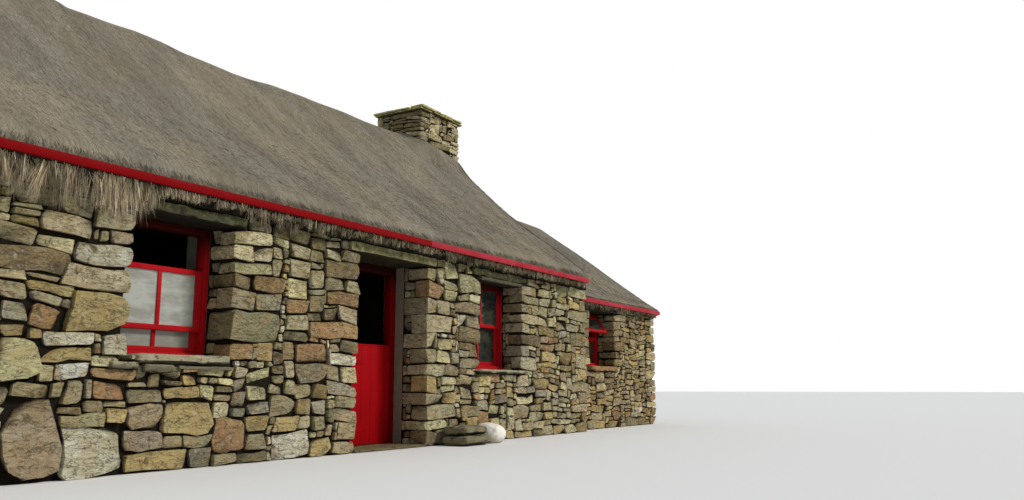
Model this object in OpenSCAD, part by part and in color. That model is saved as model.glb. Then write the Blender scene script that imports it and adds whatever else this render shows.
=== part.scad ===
// Dry-stone cottage with a thatched roof: a main block with a doorway, a half
// door and a chimney, and a lower block of the same build at its far end.
// Millimetres, Z up. The facade faces -Y and the origin lies at the middle of
// the footprint, on the ground.

/* [Main block] */
// Length of the main block over its gables
main_l = 9800; // [9400:50:10400]
// Width of the main block over its front and back walls
main_w = 5600; // [5400:50:6000]
// Height of the main walls to the wall head
main_wall_h = 2160; // [2140:10:2300]
// Thickness of every outer wall
wall_t = 650; // [550:10:750]
// Height at which the main roof slopes would cross
main_apex_h = 4860; // [4640:10:5200]

/* [Low block] */
// Length of the low block beyond the main gable
low_l = 3350; // [3000:50:3800]
// Distance from the main front wall back to the low front wall
low_setback = 250; // [150:10:350]
// Height of the low walls to the wall head
low_wall_h = 1990; // [1970:10:2090]
// Height at which the low roof slopes would cross
low_apex_h = 4010; // [3940:10:4090]

/* [Thatch] */
// Thickness of the main thatch, square to the slope
main_thatch_t = 330; // [280:10:360]
// Thickness of the low thatch, square to the slope
low_thatch_t = 300; // [260:10:320]
// Reach of the main thatch beyond the wall face at the eaves
main_eaves_out = 150; // [120:10:200]
// Reach of the low thatch beyond the wall face at the eaves
low_eaves_out = 130; // [100:10:160]
// Reach of each roof beyond its gable's outer face
verge_out = 0; // [0:10:160]
// Drop of the thatch's shaggy lip below the main wall head
lip_drop = 60; // [30:5:80]
// Radius of the main thatch's rounded nose above the eaves board
nose_r = 200; // [150:10:240]
// Radius of the rounded ridge
ridge_r = 240; // [150:10:300]

/* [Eaves boards] */
// Height of an eaves board
board_h = 70; // [60:5:100]
// Thickness of an eaves board
board_t = 30; // [20:1:40]
// Distance from each end of the main roof to its eaves boards' ends
main_board_inset = 250; // [100:10:400]
// Distance from the low roof's end to its eaves boards' ends
low_board_inset = 80; // [0:10:200]
// Height of the main board's top edge above the wall head
main_board_rise = 145; // [130:5:200]
// Height of the low board's top edge above the wall head
low_board_rise = 85; // [80:5:140]

/* [Roof timbers] */
// Side of a square purlin
purlin_d = 80; // [60:5:100]
// Depth of a rafter
rafter_d = 120; // [90:5:140]
// Width of a rafter
rafter_w = 80; // [60:5:100]
// Number of couples under the main roof
main_couple_count = 5; // [3:1:7]
// Number of couples under the low roof
low_couple_count = 2; // [1:1:3]

/* [Doorway] */
// Distance from the main near corner to the doorway
door_x = 4570; // [4500:10:4700]
// Width of the doorway between its stone jambs
door_w = 1160; // [1050:10:1200]
// Height of the doorway under its lintel
door_h = 2050; // [1990:5:2070]
// Distance from the wall face back to the door frame
door_recess = 470; // [400:10:500]
// Width of a door post
post_w = 90; // [70:5:110]
// Depth of the door frame
post_d = 100; // [80:5:120]
// Height of the half door above the threshold
leaf_h = 1100; // [1000:10:1200]
// Thickness of the half door
leaf_t = 38; // [30:1:45]
// Gap between the half door and its posts on the latch side
leaf_gap = 10; // [8:1:14]
// Distance that the half door stands proud of its frame
leaf_proud = 8; // [6:1:10]
// Radius of a hinge pin
pin_r = 8; // [6:0.5:9]
// Length of a hinge strap
strap_l = 520; // [400:10:700]

/* [Windows] */
// Distance from the main near corner to the near window
near_window_x = 1940; // [1850:10:2050]
// Width of the near window
near_window_w = 980; // [900:10:1000]
// Distance from the main near corner to the far window
far_window_x = 6820; // [6750:10:6900]
// Width of the far window
far_window_w = 1040; // [950:10:1100]
// Height of the main windows' sills above the ground
sill_z = 890; // [840:10:940]
// Distance from the low block's start to its window
low_window_x = 620; // [550:10:700]
// Width of the low window
low_window_w = 950; // [850:10:1000]
// Height of the low window's sill above the ground
low_sill_z = 1020; // [980:10:1060]
// Height of the low window's head above the ground
low_window_head_z = 1910; // [1890:5:1920]
// Distance from the wall face back to a window frame
window_recess = 330; // [250:10:380]
// Side of a window frame's members
window_member = 60; // [50:5:70]
// Depth of a window frame
window_d = 110; // [100:5:140]
// Width of a sash's stiles and rails
sash_member = 45; // [35:1:55]
// Thickness of a sash
sash_t = 35; // [30:1:40]
// Height of the opening left above the near window's lowered sash
sash_drop = 315; // [200:5:340]
// Opening angle of the low window's top-hung light
light_angle = 35; // [20:1:45]
// Thickness of the glass
glass_t = 4; // [3:0.5:6]

/* [Lintels and sills] */
// Thickness of a window's lintel slab
lintel_t = 60; // [45:5:80]
// Bearing of a lintel slab on each jamb
lintel_bearing = 160; // [120:10:200]
// Thickness of a main window's sill slab
sill_t = 60; // [40:5:80]
// Thickness of the low window's sill slab
low_sill_t = 100; // [60:5:120]
// Reach of a sill slab beyond the wall face
sill_out = 70; // [40:5:90]
// Bearing of a sill slab beyond each jamb
sill_bearing = 50; // [30:5:90]

/* [Chimney] */
// Length of the stack along the ridge
stack_l = 1090; // [900:10:1200]
// Width of the stack across the ridge
stack_w = 940; // [800:10:1000]
// Rise of the stack's stonework above the crossing of the main slopes
stack_rise = 290; // [200:10:500]
// Distance from the main gable's outer face to the stack
stack_inset = 150; // [120:10:200]
// Height at which the stack starts on the gable and the breast
stack_base_h = 3440; // [3340:10:3490]
// Wall thickness of the stack
stack_wall = 220; // [180:10:240]
// Thickness of the cap slabs
cap_t = 90; // [60:5:110]
// Overhang of the cap slabs
cap_out = 60; // [40:5:80]
// Width of the chimney breast in the room
breast_w = 1600; // [1500:10:1800]
// Height of the chimney breast's shoulder
breast_shoulder_h = 2000; // [1800:10:2100]
// Width of the hearth opening
hearth_w = 1000; // [800:10:1100]
// Height of the hearth opening
hearth_h = 1150; // [1000:10:1300]
// Side of the flue in the breast
flue = 260; // [200:10:280]

/* [Floors and inner doorway] */
// Thickness of the floors and the threshold
floor_t = 30; // [20:1:40]
// Width of the doorway in the main gable
inner_door_w = 800; // [700:10:850]
// Height of the doorway in the main gable
inner_door_h = 1850; // [1800:10:1950]
// Distance from the ridge line to the doorway in the main gable
inner_door_y = 1050; // [950:10:1150]

/* [Door seat] */
// Distance from the doorway to the seat
seat_gap = 230; // [200:10:300]
// Length of the seat's slabs
seat_l = 600; // [500:10:700]
// Reach of the seat from the wall
seat_out = 420; // [350:10:480]
// Thickness of the lower slab
seat_lower_t = 100; // [80:5:130]
// Thickness of the upper slab
seat_upper_t = 90; // [60:5:110]
// Radius of the round boulder
boulder_r = 200; // [150:10:230]

/* [Hidden] */

$fn = 48;

// Overshoot of a cut past the face that it goes through
over = 1;

// Colours
stone_colour = [0.55, 0.48, 0.38];
slab_colour = [0.45, 0.44, 0.38];
thatch_colour = [0.53, 0.48, 0.40];
red_paint = [0.65, 0.05, 0.09];
timber_colour = [0.36, 0.26, 0.17];
iron_colour = [0.15, 0.15, 0.16];
glass_colour = [0.75, 0.82, 0.84];
floor_colour = [0.42, 0.40, 0.37];
boulder_colour = [0.78, 0.77, 0.74];

// Footprint, with the origin at its middle
front_reach = max(seat_out, main_eaves_out + board_t);
back_reach = main_eaves_out + board_t;
overall_l = main_l + low_l + 2 * verge_out;
overall_w = main_w + front_reach + back_reach;
near_x = verge_out - overall_l / 2;
ridge_y = front_reach + main_w / 2 - overall_w / 2;

// Main block, measured from the near gable's face and from the ridge line
far_x = near_x + main_l;
main_half = main_w / 2;
main_inner_half = main_half - wall_t;
main_gable_x = far_x - wall_t;

// Low block
low_end_x = far_x + low_l;
low_half = main_half - low_setback;
low_inner_half = low_half - wall_t;
low_gable_x = low_end_x - wall_t;

// Roof slopes: the outer surface passes the eaves board's top edge
main_board_z = main_wall_h + main_board_rise;
low_board_z = low_wall_h + low_board_rise;
main_slope = (main_apex_h - main_board_z) / (main_half + main_eaves_out);
low_slope = (low_apex_h - low_board_z) / (low_half + low_eaves_out);
main_pitch = atan(main_slope);
low_pitch = atan(low_slope);
main_under_apex = main_apex_h - main_thatch_t / cos(main_pitch);
low_under_apex = low_apex_h - low_thatch_t / cos(low_pitch);
low_lip_drop = lip_drop / 2;
low_nose_r = nose_r / 4;
// Run of the slope's start above the nose, in nose radii
nose_run = 3.6;
// Steps of each rounded stretch of the thatch
arc_steps = 4;

// Roof timbers: the gap at which purlins lie on their seats, the purlins' shares
// of the half width, and the collars' share of the height
timber_gap = 0.3;
purlin_shares = [0.26, 0.6];
collar_share = 0.55;

// Doorway
door_x0 = near_x + door_x;
door_x1 = door_x0 + door_w;
frame_y = door_recess - main_half;
leaf_y = frame_y - leaf_proud;
leaf_floor_gap = 8;
leaf_z = floor_t + leaf_floor_gap;
strap_t = 6;
eye_r = 14;
pin_gap = 0.3;
pin_inset = 10;
pin_stand_off = 6;
pin_to_leaf = 15;
pin_head = 12;
pin_x = door_x0 + post_w - pin_inset;
pin_y = leaf_y - strap_t - pin_stand_off;
leaf_x0 = pin_x + pin_to_leaf;
leaf_x1 = door_x1 - post_w - leaf_gap;
strap_h = 40;
low_strap_up = 160;
high_strap_down = 200;
strap_zs = [leaf_z + low_strap_up, leaf_z + leaf_h - high_strap_down];
pin_foot_t = 10;

// Windows
near_window_x0 = near_x + near_window_x;
far_window_x0 = near_x + far_window_x;
low_window_x0 = far_x + low_window_x;
window_h = door_h - sill_z;
low_window_h = low_window_head_z - low_sill_z;
sash_h = (window_h - 2 * window_member + sash_member) / 2;
sash_plane_gap = 5;
outer_sash_y = 5;
inner_sash_y = outer_sash_y + sash_t + sash_plane_gap;
low_rail_share = 0.52;
low_rail_z = low_window_h * low_rail_share;

// Chimney
stack_x1 = far_x - stack_inset;
stack_x0 = stack_x1 - stack_l;
stack_top_h = main_apex_h + stack_rise;
breast_x1 = main_gable_x;
flue_back_t = 110;
flue_x0 = breast_x1 - flue_back_t - flue;
hearth_x1 = flue_x0 + flue;

// Floors
main_inner_x0 = near_x + wall_t;

// Seat by the doorway
seat_x0 = door_x1 + seat_gap;
seat_corner = 60;
seat_upper_inset = 40;
seat_upper_setback = 50;
boulder_off = boulder_r * 0.9;
boulder_up = boulder_r * 0.2;
boulder_x = seat_x0 + seat_l + boulder_off;

// Draws children in the ridge line's own frame
module at_ridge() {
    translate([0, ridge_y, 0]) children();
}

// Extrudes a profile drawn in Y and Z along X, from x0 to x1
module run(x0, x1) {
    translate([x0, 0, 0]) rotate([90, 0, 90]) linear_extrude(height = x1 - x0) children();
}

// Box between two corners
module block(a, b) {
    translate(a) cube(b - a);
}

// Mirrors children to the other side of the ridge and keeps them
module both_sides() {
    children();
    mirror([0, 1, 0]) children();
}

// Height of a roof line at a distance from the ridge
function line_z(apex, slope, y) = apex - slope * y;
// Distance from the ridge at which a roof line comes down to a height
function line_y(apex, slope, z) = (apex - z) / slope;

// Thatch outline on one side of the ridge, from the underside round the eaves
// to the ridge
function thatch_side(half, out, wall_h, lip, apex, under_apex, slope, board_z, nose) =
    let (
        pitch = atan(slope),
        eaves_y = half + out,
        turn = 90 - pitch,
        join_y = eaves_y - nose_run * nose,
        ridge_c = apex - ridge_r / cos(pitch)
    )
    concat(
        [
            [0, under_apex],
            [line_y(under_apex, slope, wall_h), wall_h],
            [half, wall_h],
            [half, wall_h - lip],
            [eaves_y, wall_h - lip],
        ],
        [for (i = [0 : arc_steps]) let (a = turn * i / arc_steps)
            [eaves_y - nose * (1 - cos(a)), board_z + nose * sin(a)]],
        [[join_y, line_z(apex, slope, join_y)]],
        [for (i = [0 : arc_steps]) let (a = pitch * (1 - i / arc_steps))
            [ridge_r * sin(a), ridge_c + ridge_r * cos(a)]]
    );

// Whole thatch outline, both sides of the ridge
module thatch_outline(side) {
    n = len(side);
    polygon(concat(side, [for (i = [n - 2 : -1 : 1]) [-side[i][0], side[i][1]]]));
}

main_side = thatch_side(main_half, main_eaves_out, main_wall_h, lip_drop, main_apex_h,
    main_under_apex, main_slope, main_board_z, nose_r);
low_side = thatch_side(low_half, low_eaves_out, low_wall_h, low_lip_drop, low_apex_h,
    low_under_apex, low_slope, low_board_z, low_nose_r);

// Gable wall outline between the long walls, and above them up to the thatch
module gable_outline(inner_half, wall_h, under_apex, slope) {
    head_y = line_y(under_apex, slope, wall_h);
    polygon([
        [-inner_half, 0], [inner_half, 0], [inner_half, wall_h], [head_y, wall_h],
        [0, under_apex], [-head_y, wall_h], [-inner_half, wall_h]
    ]);
}

// Space that a window, its lintel and its sill take out of a front wall. The
// wall's outer face is at y = 0 and the wall runs towards +Y.
module window_space(x0, w, z0, h, sill) {
    block([x0, -over, z0], [x0 + w, wall_t + over, z0 + h]);
    lintel_space(x0, w, z0 + h, over);
    sill_space(x0, w, z0, sill, over);
}

module lintel_space(x0, w, z, past) {
    block([x0 - lintel_bearing, -past, z], [x0 + w + lintel_bearing, wall_t + past, z + lintel_t]);
}

module sill_space(x0, w, z, t, past) {
    block([x0 - sill_bearing, -past, z - t], [x0 + w + sill_bearing, window_recess, z]);
}

module sill_slab(x0, w, z, t) {
    block([x0 - sill_bearing, -sill_out, z - t], [x0 + w + sill_bearing, window_recess, z]);
}

// Puts children, drawn with the wall's outer face at y = 0, into a wall
module in_front_wall() {
    translate([0, -main_half, 0]) children();
}

module in_low_wall() {
    translate([0, -low_half, 0]) children();
}

module in_back_wall() {
    mirror([0, 1, 0]) translate([0, -main_half, 0]) children();
}

// Walls
module near_gable() {
    color(stone_colour) at_ridge() run(near_x, near_x + wall_t)
        gable_outline(main_inner_half, main_wall_h, main_under_apex, main_slope);
}

module front_wall_near() {
    color(stone_colour) at_ridge() in_front_wall() difference() {
        block([near_x, 0, 0], [door_x0, wall_t, main_wall_h]);
        window_space(near_window_x0, near_window_w, sill_z, window_h, sill_t);
        door_lintel_space();
    }
}

module front_wall_far() {
    color(stone_colour) at_ridge() in_front_wall() difference() {
        block([door_x1, 0, 0], [far_x, wall_t, main_wall_h]);
        window_space(far_window_x0, far_window_w, sill_z, window_h, sill_t);
        door_lintel_space();
    }
}

module back_wall() {
    color(stone_colour) at_ridge() in_back_wall() difference() {
        block([near_x, 0, 0], [far_x, wall_t, main_wall_h]);
        window_space(near_window_x0, near_window_w, sill_z, window_h, sill_t);
        window_space(far_window_x0, far_window_w, sill_z, window_h, sill_t);
    }
}

module main_gable() {
    color(stone_colour) at_ridge() difference() {
        run(main_gable_x, far_x) gable_outline(main_inner_half, main_wall_h, main_under_apex, main_slope);
        block([main_gable_x - over, -stack_w / 2, stack_base_h], [stack_x1, stack_w / 2, main_apex_h]);
        block([main_gable_x - over, inner_door_y, floor_t],
            [far_x + over, inner_door_y + inner_door_w, floor_t + inner_door_h]);
    }
}

module low_front_wall() {
    color(stone_colour) at_ridge() in_low_wall() difference() {
        block([far_x, 0, 0], [low_end_x, wall_t, low_wall_h]);
        window_space(low_window_x0, low_window_w, low_sill_z, low_window_h, low_sill_t);
    }
}

module low_end_gable() {
    color(stone_colour) at_ridge() run(low_gable_x, low_end_x)
        gable_outline(low_inner_half, low_wall_h, low_under_apex, low_slope);
}

module low_back_wall() {
    color(stone_colour) at_ridge()
        block([far_x, low_inner_half, 0], [low_end_x, low_half, low_wall_h]);
}

// Doorway
module door_lintel_space() {
    block([door_x0 - lintel_bearing, -over, door_h],
        [door_x1 + lintel_bearing, wall_t + over, main_wall_h + over]);
}

module door_lintel() {
    color(slab_colour) at_ridge() in_front_wall()
        block([door_x0 - lintel_bearing, 0, door_h], [door_x1 + lintel_bearing, wall_t, main_wall_h]);
}

module threshold() {
    color(slab_colour) at_ridge() in_front_wall()
        block([door_x0, 0, 0], [door_x1, wall_t, floor_t]);
}

module door_frame() {
    color(red_paint) at_ridge() difference() {
        block([door_x0, frame_y, floor_t], [door_x1, frame_y + post_d, door_h]);
        block([door_x0 + post_w, frame_y - over, floor_t - over],
            [door_x1 - post_w, frame_y + post_d + over, door_h - post_w]);
    }
}

module hinge_pintles() {
    color(iron_colour) at_ridge() for (z = strap_zs) {
        foot_z = z - strap_h / 2 - pin_gap - pin_foot_t;
        translate([pin_x, pin_y, foot_z]) cylinder(r = pin_r, h = pin_foot_t + strap_h + pin_head);
        block([pin_x - pin_r, pin_y, foot_z], [pin_x + pin_r, frame_y, foot_z + pin_foot_t]);
    }
}

module half_door() {
    color(red_paint) at_ridge()
        block([leaf_x0, leaf_y, leaf_z], [leaf_x1, leaf_y + leaf_t, leaf_z + leaf_h]);
}

module strap_hinges() {
    color(iron_colour) at_ridge() for (z = strap_zs) difference() {
        union() {
            translate([pin_x, pin_y, z - strap_h / 2]) cylinder(r = eye_r, h = strap_h);
            block([pin_x, leaf_y - strap_t, z - strap_h / 2], [pin_x + strap_l, leaf_y, z + strap_h / 2]);
        }
        translate([pin_x, pin_y, z - strap_h]) cylinder(r = pin_r + pin_gap, h = 2 * strap_h);
    }
}

// Lintels and sills
module window_lintels() {
    color(slab_colour) at_ridge() {
        in_front_wall() lintel_space(near_window_x0, near_window_w, door_h, 0);
        in_front_wall() lintel_space(far_window_x0, far_window_w, door_h, 0);
        in_low_wall() lintel_space(low_window_x0, low_window_w, low_window_head_z, 0);
        in_back_wall() lintel_space(near_window_x0, near_window_w, door_h, 0);
        in_back_wall() lintel_space(far_window_x0, far_window_w, door_h, 0);
    }
}

module window_sills() {
    color(slab_colour) at_ridge() {
        in_front_wall() sill_slab(near_window_x0, near_window_w, sill_z, sill_t);
        in_front_wall() sill_slab(far_window_x0, far_window_w, sill_z, sill_t);
        in_low_wall() sill_slab(low_window_x0, low_window_w, low_sill_z, low_sill_t);
        in_back_wall() sill_slab(near_window_x0, near_window_w, sill_z, sill_t);
        in_back_wall() sill_slab(far_window_x0, far_window_w, sill_z, sill_t);
    }
}

// Window joinery, drawn from the lower near corner of the opening
module frame(w, h) {
    difference() {
        block([0, window_recess, 0], [w, window_recess + window_d, h]);
        block([window_member, window_recess - over, window_member],
            [w - window_member, window_recess + window_d + over, h - window_member]);
    }
}

module sash(w, h) {
    difference() {
        block([0, 0, 0], [w, sash_t, h]);
        block([sash_member, -over, sash_member], [w - sash_member, sash_t + over, h - sash_member]);
    }
}

module pane(w, h) {
    translate([sash_member, (sash_t - glass_t) / 2, sash_member])
        cube([w - 2 * sash_member, glass_t, h - 2 * sash_member]);
}

// Puts a sash or its pane into a window whose opening starts at x0 and z0
module in_frame(x0, z0, plane_y, up) {
    translate([x0 + window_member, window_recess + plane_y, z0 + window_member + up]) children();
}

sash_closed_up = window_h - 2 * window_member - sash_h;
near_sash_w = near_window_w - 2 * window_member;
far_sash_w = far_window_w - 2 * window_member;

module near_window_frame() {
    color(red_paint) at_ridge() in_front_wall()
        translate([near_window_x0, 0, sill_z]) frame(near_window_w, window_h);
}

module near_window_upper_sash() {
    color(red_paint) at_ridge() in_front_wall()
        in_frame(near_window_x0, sill_z, outer_sash_y, sash_closed_up - sash_drop) sash(near_sash_w, sash_h);
}

module near_window_lower_sash() {
    color(red_paint) at_ridge() in_front_wall()
        in_frame(near_window_x0, sill_z, inner_sash_y, 0) sash(near_sash_w, sash_h);
}

module far_window_frame() {
    color(red_paint) at_ridge() in_front_wall()
        translate([far_window_x0, 0, sill_z]) frame(far_window_w, window_h);
}

module far_window_upper_sash() {
    color(red_paint) at_ridge() in_front_wall()
        in_frame(far_window_x0, sill_z, outer_sash_y, sash_closed_up) sash(far_sash_w, sash_h);
}

module far_window_lower_sash() {
    color(red_paint) at_ridge() in_front_wall()
        in_frame(far_window_x0, sill_z, inner_sash_y, 0) sash(far_sash_w, sash_h);
}

// Low window: a fixed pane below a rail, and a light hung from the head above
low_light_w = low_window_w - 2 * window_member;
low_light_h = low_window_h - window_member - (low_rail_z + window_member / 2);

module low_window_frame() {
    color(red_paint) at_ridge() in_low_wall() translate([low_window_x0, 0, low_sill_z]) {
        frame(low_window_w, low_window_h);
        block([window_member - over, window_recess, low_rail_z - window_member / 2],
            [low_window_w - window_member + over, window_recess + window_d, low_rail_z + window_member / 2]);
    }
}

module in_open_light() {
    translate([low_window_x0 + window_member, window_recess, low_window_head_z - window_member])
        rotate([-light_angle, 0, 0]) translate([0, -sash_t, -low_light_h]) children();
}

module low_window_open_light() {
    color(red_paint) at_ridge() in_low_wall() in_open_light() sash(low_light_w, low_light_h);
}

module back_window_frames() {
    color(red_paint) at_ridge() in_back_wall() {
        translate([near_window_x0, 0, sill_z]) frame(near_window_w, window_h);
        translate([far_window_x0, 0, sill_z]) frame(far_window_w, window_h);
    }
}

module back_window_sashes() {
    color(red_paint) at_ridge() in_back_wall() {
        in_frame(near_window_x0, sill_z, outer_sash_y, sash_closed_up) sash(near_sash_w, sash_h);
        in_frame(near_window_x0, sill_z, inner_sash_y, 0) sash(near_sash_w, sash_h);
        in_frame(far_window_x0, sill_z, outer_sash_y, sash_closed_up) sash(far_sash_w, sash_h);
        in_frame(far_window_x0, sill_z, inner_sash_y, 0) sash(far_sash_w, sash_h);
    }
}

module window_glass() {
    color(glass_colour, 0.4) at_ridge() {
        in_front_wall() {
            in_frame(near_window_x0, sill_z, outer_sash_y, sash_closed_up - sash_drop)
                pane(near_sash_w, sash_h);
            in_frame(near_window_x0, sill_z, inner_sash_y, 0) pane(near_sash_w, sash_h);
            in_frame(far_window_x0, sill_z, outer_sash_y, sash_closed_up) pane(far_sash_w, sash_h);
            in_frame(far_window_x0, sill_z, inner_sash_y, 0) pane(far_sash_w, sash_h);
        }
        in_back_wall() {
            in_frame(near_window_x0, sill_z, outer_sash_y, sash_closed_up) pane(near_sash_w, sash_h);
            in_frame(near_window_x0, sill_z, inner_sash_y, 0) pane(near_sash_w, sash_h);
            in_frame(far_window_x0, sill_z, outer_sash_y, sash_closed_up) pane(far_sash_w, sash_h);
            in_frame(far_window_x0, sill_z, inner_sash_y, 0) pane(far_sash_w, sash_h);
        }
        in_low_wall() {
            in_open_light() pane(low_light_w, low_light_h);
            block([low_window_x0 + window_member, window_recess + window_d / 2, low_sill_z + window_member],
                [low_window_x0 + low_window_w - window_member, window_recess + window_d / 2 + glass_t,
                    low_sill_z + low_rail_z - window_member / 2]);
        }
    }
}

// Roofs
module main_thatch() {
    color(thatch_colour) at_ridge() difference() {
        run(near_x - verge_out, far_x + verge_out) thatch_outline(main_side);
        block([stack_x0, -stack_w / 2, 0], [stack_x1, stack_w / 2, stack_top_h]);
    }
}

// The low thatch is butted under the main roof's verge
module low_thatch() {
    color(thatch_colour) at_ridge() difference() {
        run(far_x, low_end_x + verge_out) thatch_outline(low_side);
        run(far_x - over, far_x + verge_out) thatch_outline(main_side);
    }
}

module main_eaves_boards() {
    color(red_paint) at_ridge() both_sides()
        block([near_x - verge_out + main_board_inset, -main_half - main_eaves_out - board_t,
            main_board_z - board_h],
            [far_x + verge_out - main_board_inset, -main_half - main_eaves_out, main_board_z]);
}

module low_eaves_boards() {
    color(red_paint) at_ridge() both_sides()
        block([far_x, -low_half - low_eaves_out - board_t, low_board_z - board_h],
            [low_end_x + verge_out - low_board_inset, -low_half - low_eaves_out, low_board_z]);
}

// One couple: two rafters and a collar, standing on the wall heads
module couple(under_apex, slope, wall_h) {
    pitch = atan(slope);
    outer_apex = under_apex - (purlin_d + 2 * timber_gap) / cos(pitch);
    inner_apex = outer_apex - rafter_d / cos(pitch);
    outer_y = line_y(outer_apex, slope, wall_h);
    inner_y = line_y(inner_apex, slope, wall_h);
    collar_z = wall_h + (inner_apex - wall_h) * collar_share;
    collar_top_y = line_y(inner_apex, slope, collar_z + rafter_d);
    collar_low_y = line_y(inner_apex, slope, collar_z);
    difference() {
        polygon([[-outer_y, wall_h], [outer_y, wall_h], [0, outer_apex]]);
        polygon([[-inner_y, wall_h], [inner_y, wall_h], [collar_low_y, collar_z], [-collar_low_y, collar_z]]);
        polygon([[-collar_top_y, collar_z + rafter_d], [collar_top_y, collar_z + rafter_d], [0, inner_apex]]);
    }
}

// Couples set out at even spaces between two faces
module couples(x0, x1, count, under_apex, slope, wall_h) {
    for (i = [1 : count]) {
        x = x0 + (x1 - x0) * i / (count + 1) - rafter_w / 2;
        run(x, x + rafter_w) couple(under_apex, slope, wall_h);
    }
}

module main_couples() {
    color(timber_colour) at_ridge()
        couples(main_inner_x0, stack_x0, main_couple_count, main_under_apex, main_slope, main_wall_h);
}

module low_couples() {
    color(timber_colour) at_ridge()
        couples(far_x, low_gable_x, low_couple_count, low_under_apex, low_slope, low_wall_h);
}

// Purlins on both sides, lying on the couples under the thatch
module purlins(x0, x1, half, under_apex, slope) {
    pitch = atan(slope);
    seat_apex = under_apex - (purlin_d + timber_gap) / cos(pitch);
    both_sides() for (share = purlin_shares) {
        y = half * share;
        run(x0, x1) translate([y, line_z(seat_apex, slope, y)]) rotate(-pitch) square(purlin_d);
    }
}

module main_purlins() {
    color(timber_colour) at_ridge()
        purlins(main_inner_x0, main_gable_x, main_half, main_under_apex, main_slope);
}

module low_purlins() {
    color(timber_colour) at_ridge()
        purlins(far_x, low_gable_x, low_half, low_under_apex, low_slope);
}

// Chimney
module chimney_breast() {
    color(stone_colour) at_ridge() difference() {
        run(stack_x0, breast_x1) polygon([
            [-breast_w / 2, 0], [breast_w / 2, 0], [breast_w / 2, breast_shoulder_h],
            [stack_w / 2, breast_shoulder_h + (breast_w - stack_w) / 2], [stack_w / 2, stack_base_h],
            [-stack_w / 2, stack_base_h], [-stack_w / 2, breast_shoulder_h + (breast_w - stack_w) / 2],
            [-breast_w / 2, breast_shoulder_h]
        ]);
        block([stack_x0 - over, -hearth_w / 2, floor_t], [hearth_x1, hearth_w / 2, floor_t + hearth_h]);
        block([flue_x0, -flue / 2, floor_t], [hearth_x1, flue / 2, stack_base_h + over]);
    }
}

module chimney_stack() {
    color(stone_colour) at_ridge() difference() {
        block([stack_x0, -stack_w / 2, stack_base_h], [stack_x1, stack_w / 2, stack_top_h]);
        stack_flue();
    }
}

module stack_flue() {
    block([stack_x0 + stack_wall, stack_wall - stack_w / 2, stack_base_h - over],
        [stack_x1 - stack_wall, stack_w / 2 - stack_wall, stack_top_h + cap_t + over]);
}

module chimney_cap() {
    color(slab_colour) at_ridge() difference() {
        block([stack_x0 - cap_out, -stack_w / 2 - cap_out, stack_top_h],
            [stack_x1 + cap_out, stack_w / 2 + cap_out, stack_top_h + cap_t]);
        stack_flue();
    }
}

// Floors
module main_floor() {
    color(floor_colour) at_ridge() difference() {
        block([main_inner_x0, -main_inner_half, 0], [main_gable_x, main_inner_half, floor_t]);
        block([stack_x0, -breast_w / 2, -over], [main_gable_x + over, breast_w / 2, floor_t + over]);
    }
}

module low_floor() {
    color(floor_colour) at_ridge()
        block([far_x, -low_inner_half, 0], [low_gable_x, low_inner_half, floor_t]);
}

// Seat of two slabs and a boulder against the front wall
module seat_slab(x0, l, out, z, t) {
    c = seat_corner;
    translate([x0, 0, z]) linear_extrude(height = t) polygon([
        [0, 0], [l, 0], [l, -out + 2 * c], [l - c, -out + c / 2], [l / 2, -out],
        [c, -out + c / 2], [0, -out + 2 * c]
    ]);
}

module seat_lower_slab() {
    color(slab_colour) at_ridge() in_front_wall() seat_slab(seat_x0, seat_l, seat_out, 0, seat_lower_t);
}

module seat_upper_slab() {
    color(slab_colour) at_ridge() in_front_wall() seat_slab(seat_x0 + seat_upper_inset,
        seat_l - 2 * seat_upper_inset, seat_out - seat_upper_setback, seat_lower_t, seat_upper_t);
}

module seat_boulder() {
    color(boulder_colour) at_ridge() in_front_wall() intersection() {
        translate([boulder_x, -boulder_off, boulder_up]) sphere(r = boulder_r);
        block([boulder_x - boulder_off, -2 * boulder_r, 0], [boulder_x + boulder_r, 0, 2 * boulder_r]);
    }
}

near_gable();
front_wall_near();
front_wall_far();
back_wall();
main_gable();
low_front_wall();
low_end_gable();
low_back_wall();
door_lintel();
threshold();
door_frame();
hinge_pintles();
half_door();
strap_hinges();
window_lintels();
window_sills();
near_window_frame();
near_window_upper_sash();
near_window_lower_sash();
far_window_frame();
far_window_upper_sash();
far_window_lower_sash();
low_window_frame();
low_window_open_light();
back_window_frames();
back_window_sashes();
window_glass();
main_thatch();
low_thatch();
main_eaves_boards();
low_eaves_boards();
main_couples();
low_couples();
main_purlins();
low_purlins();
chimney_breast();
chimney_stack();
chimney_cap();
main_floor();
low_floor();
seat_lower_slab();
seat_upper_slab();
seat_boulder();
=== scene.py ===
"""The finished look of a thatched dry-stone cottage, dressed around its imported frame.

Metres, +X along the ridge, -Y out of the facade, +Z up. Stones, straws and tufts are each
modelled once as a blank and laid in joined meshes; the rest is modelled piece by piece.
"""
import math

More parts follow.
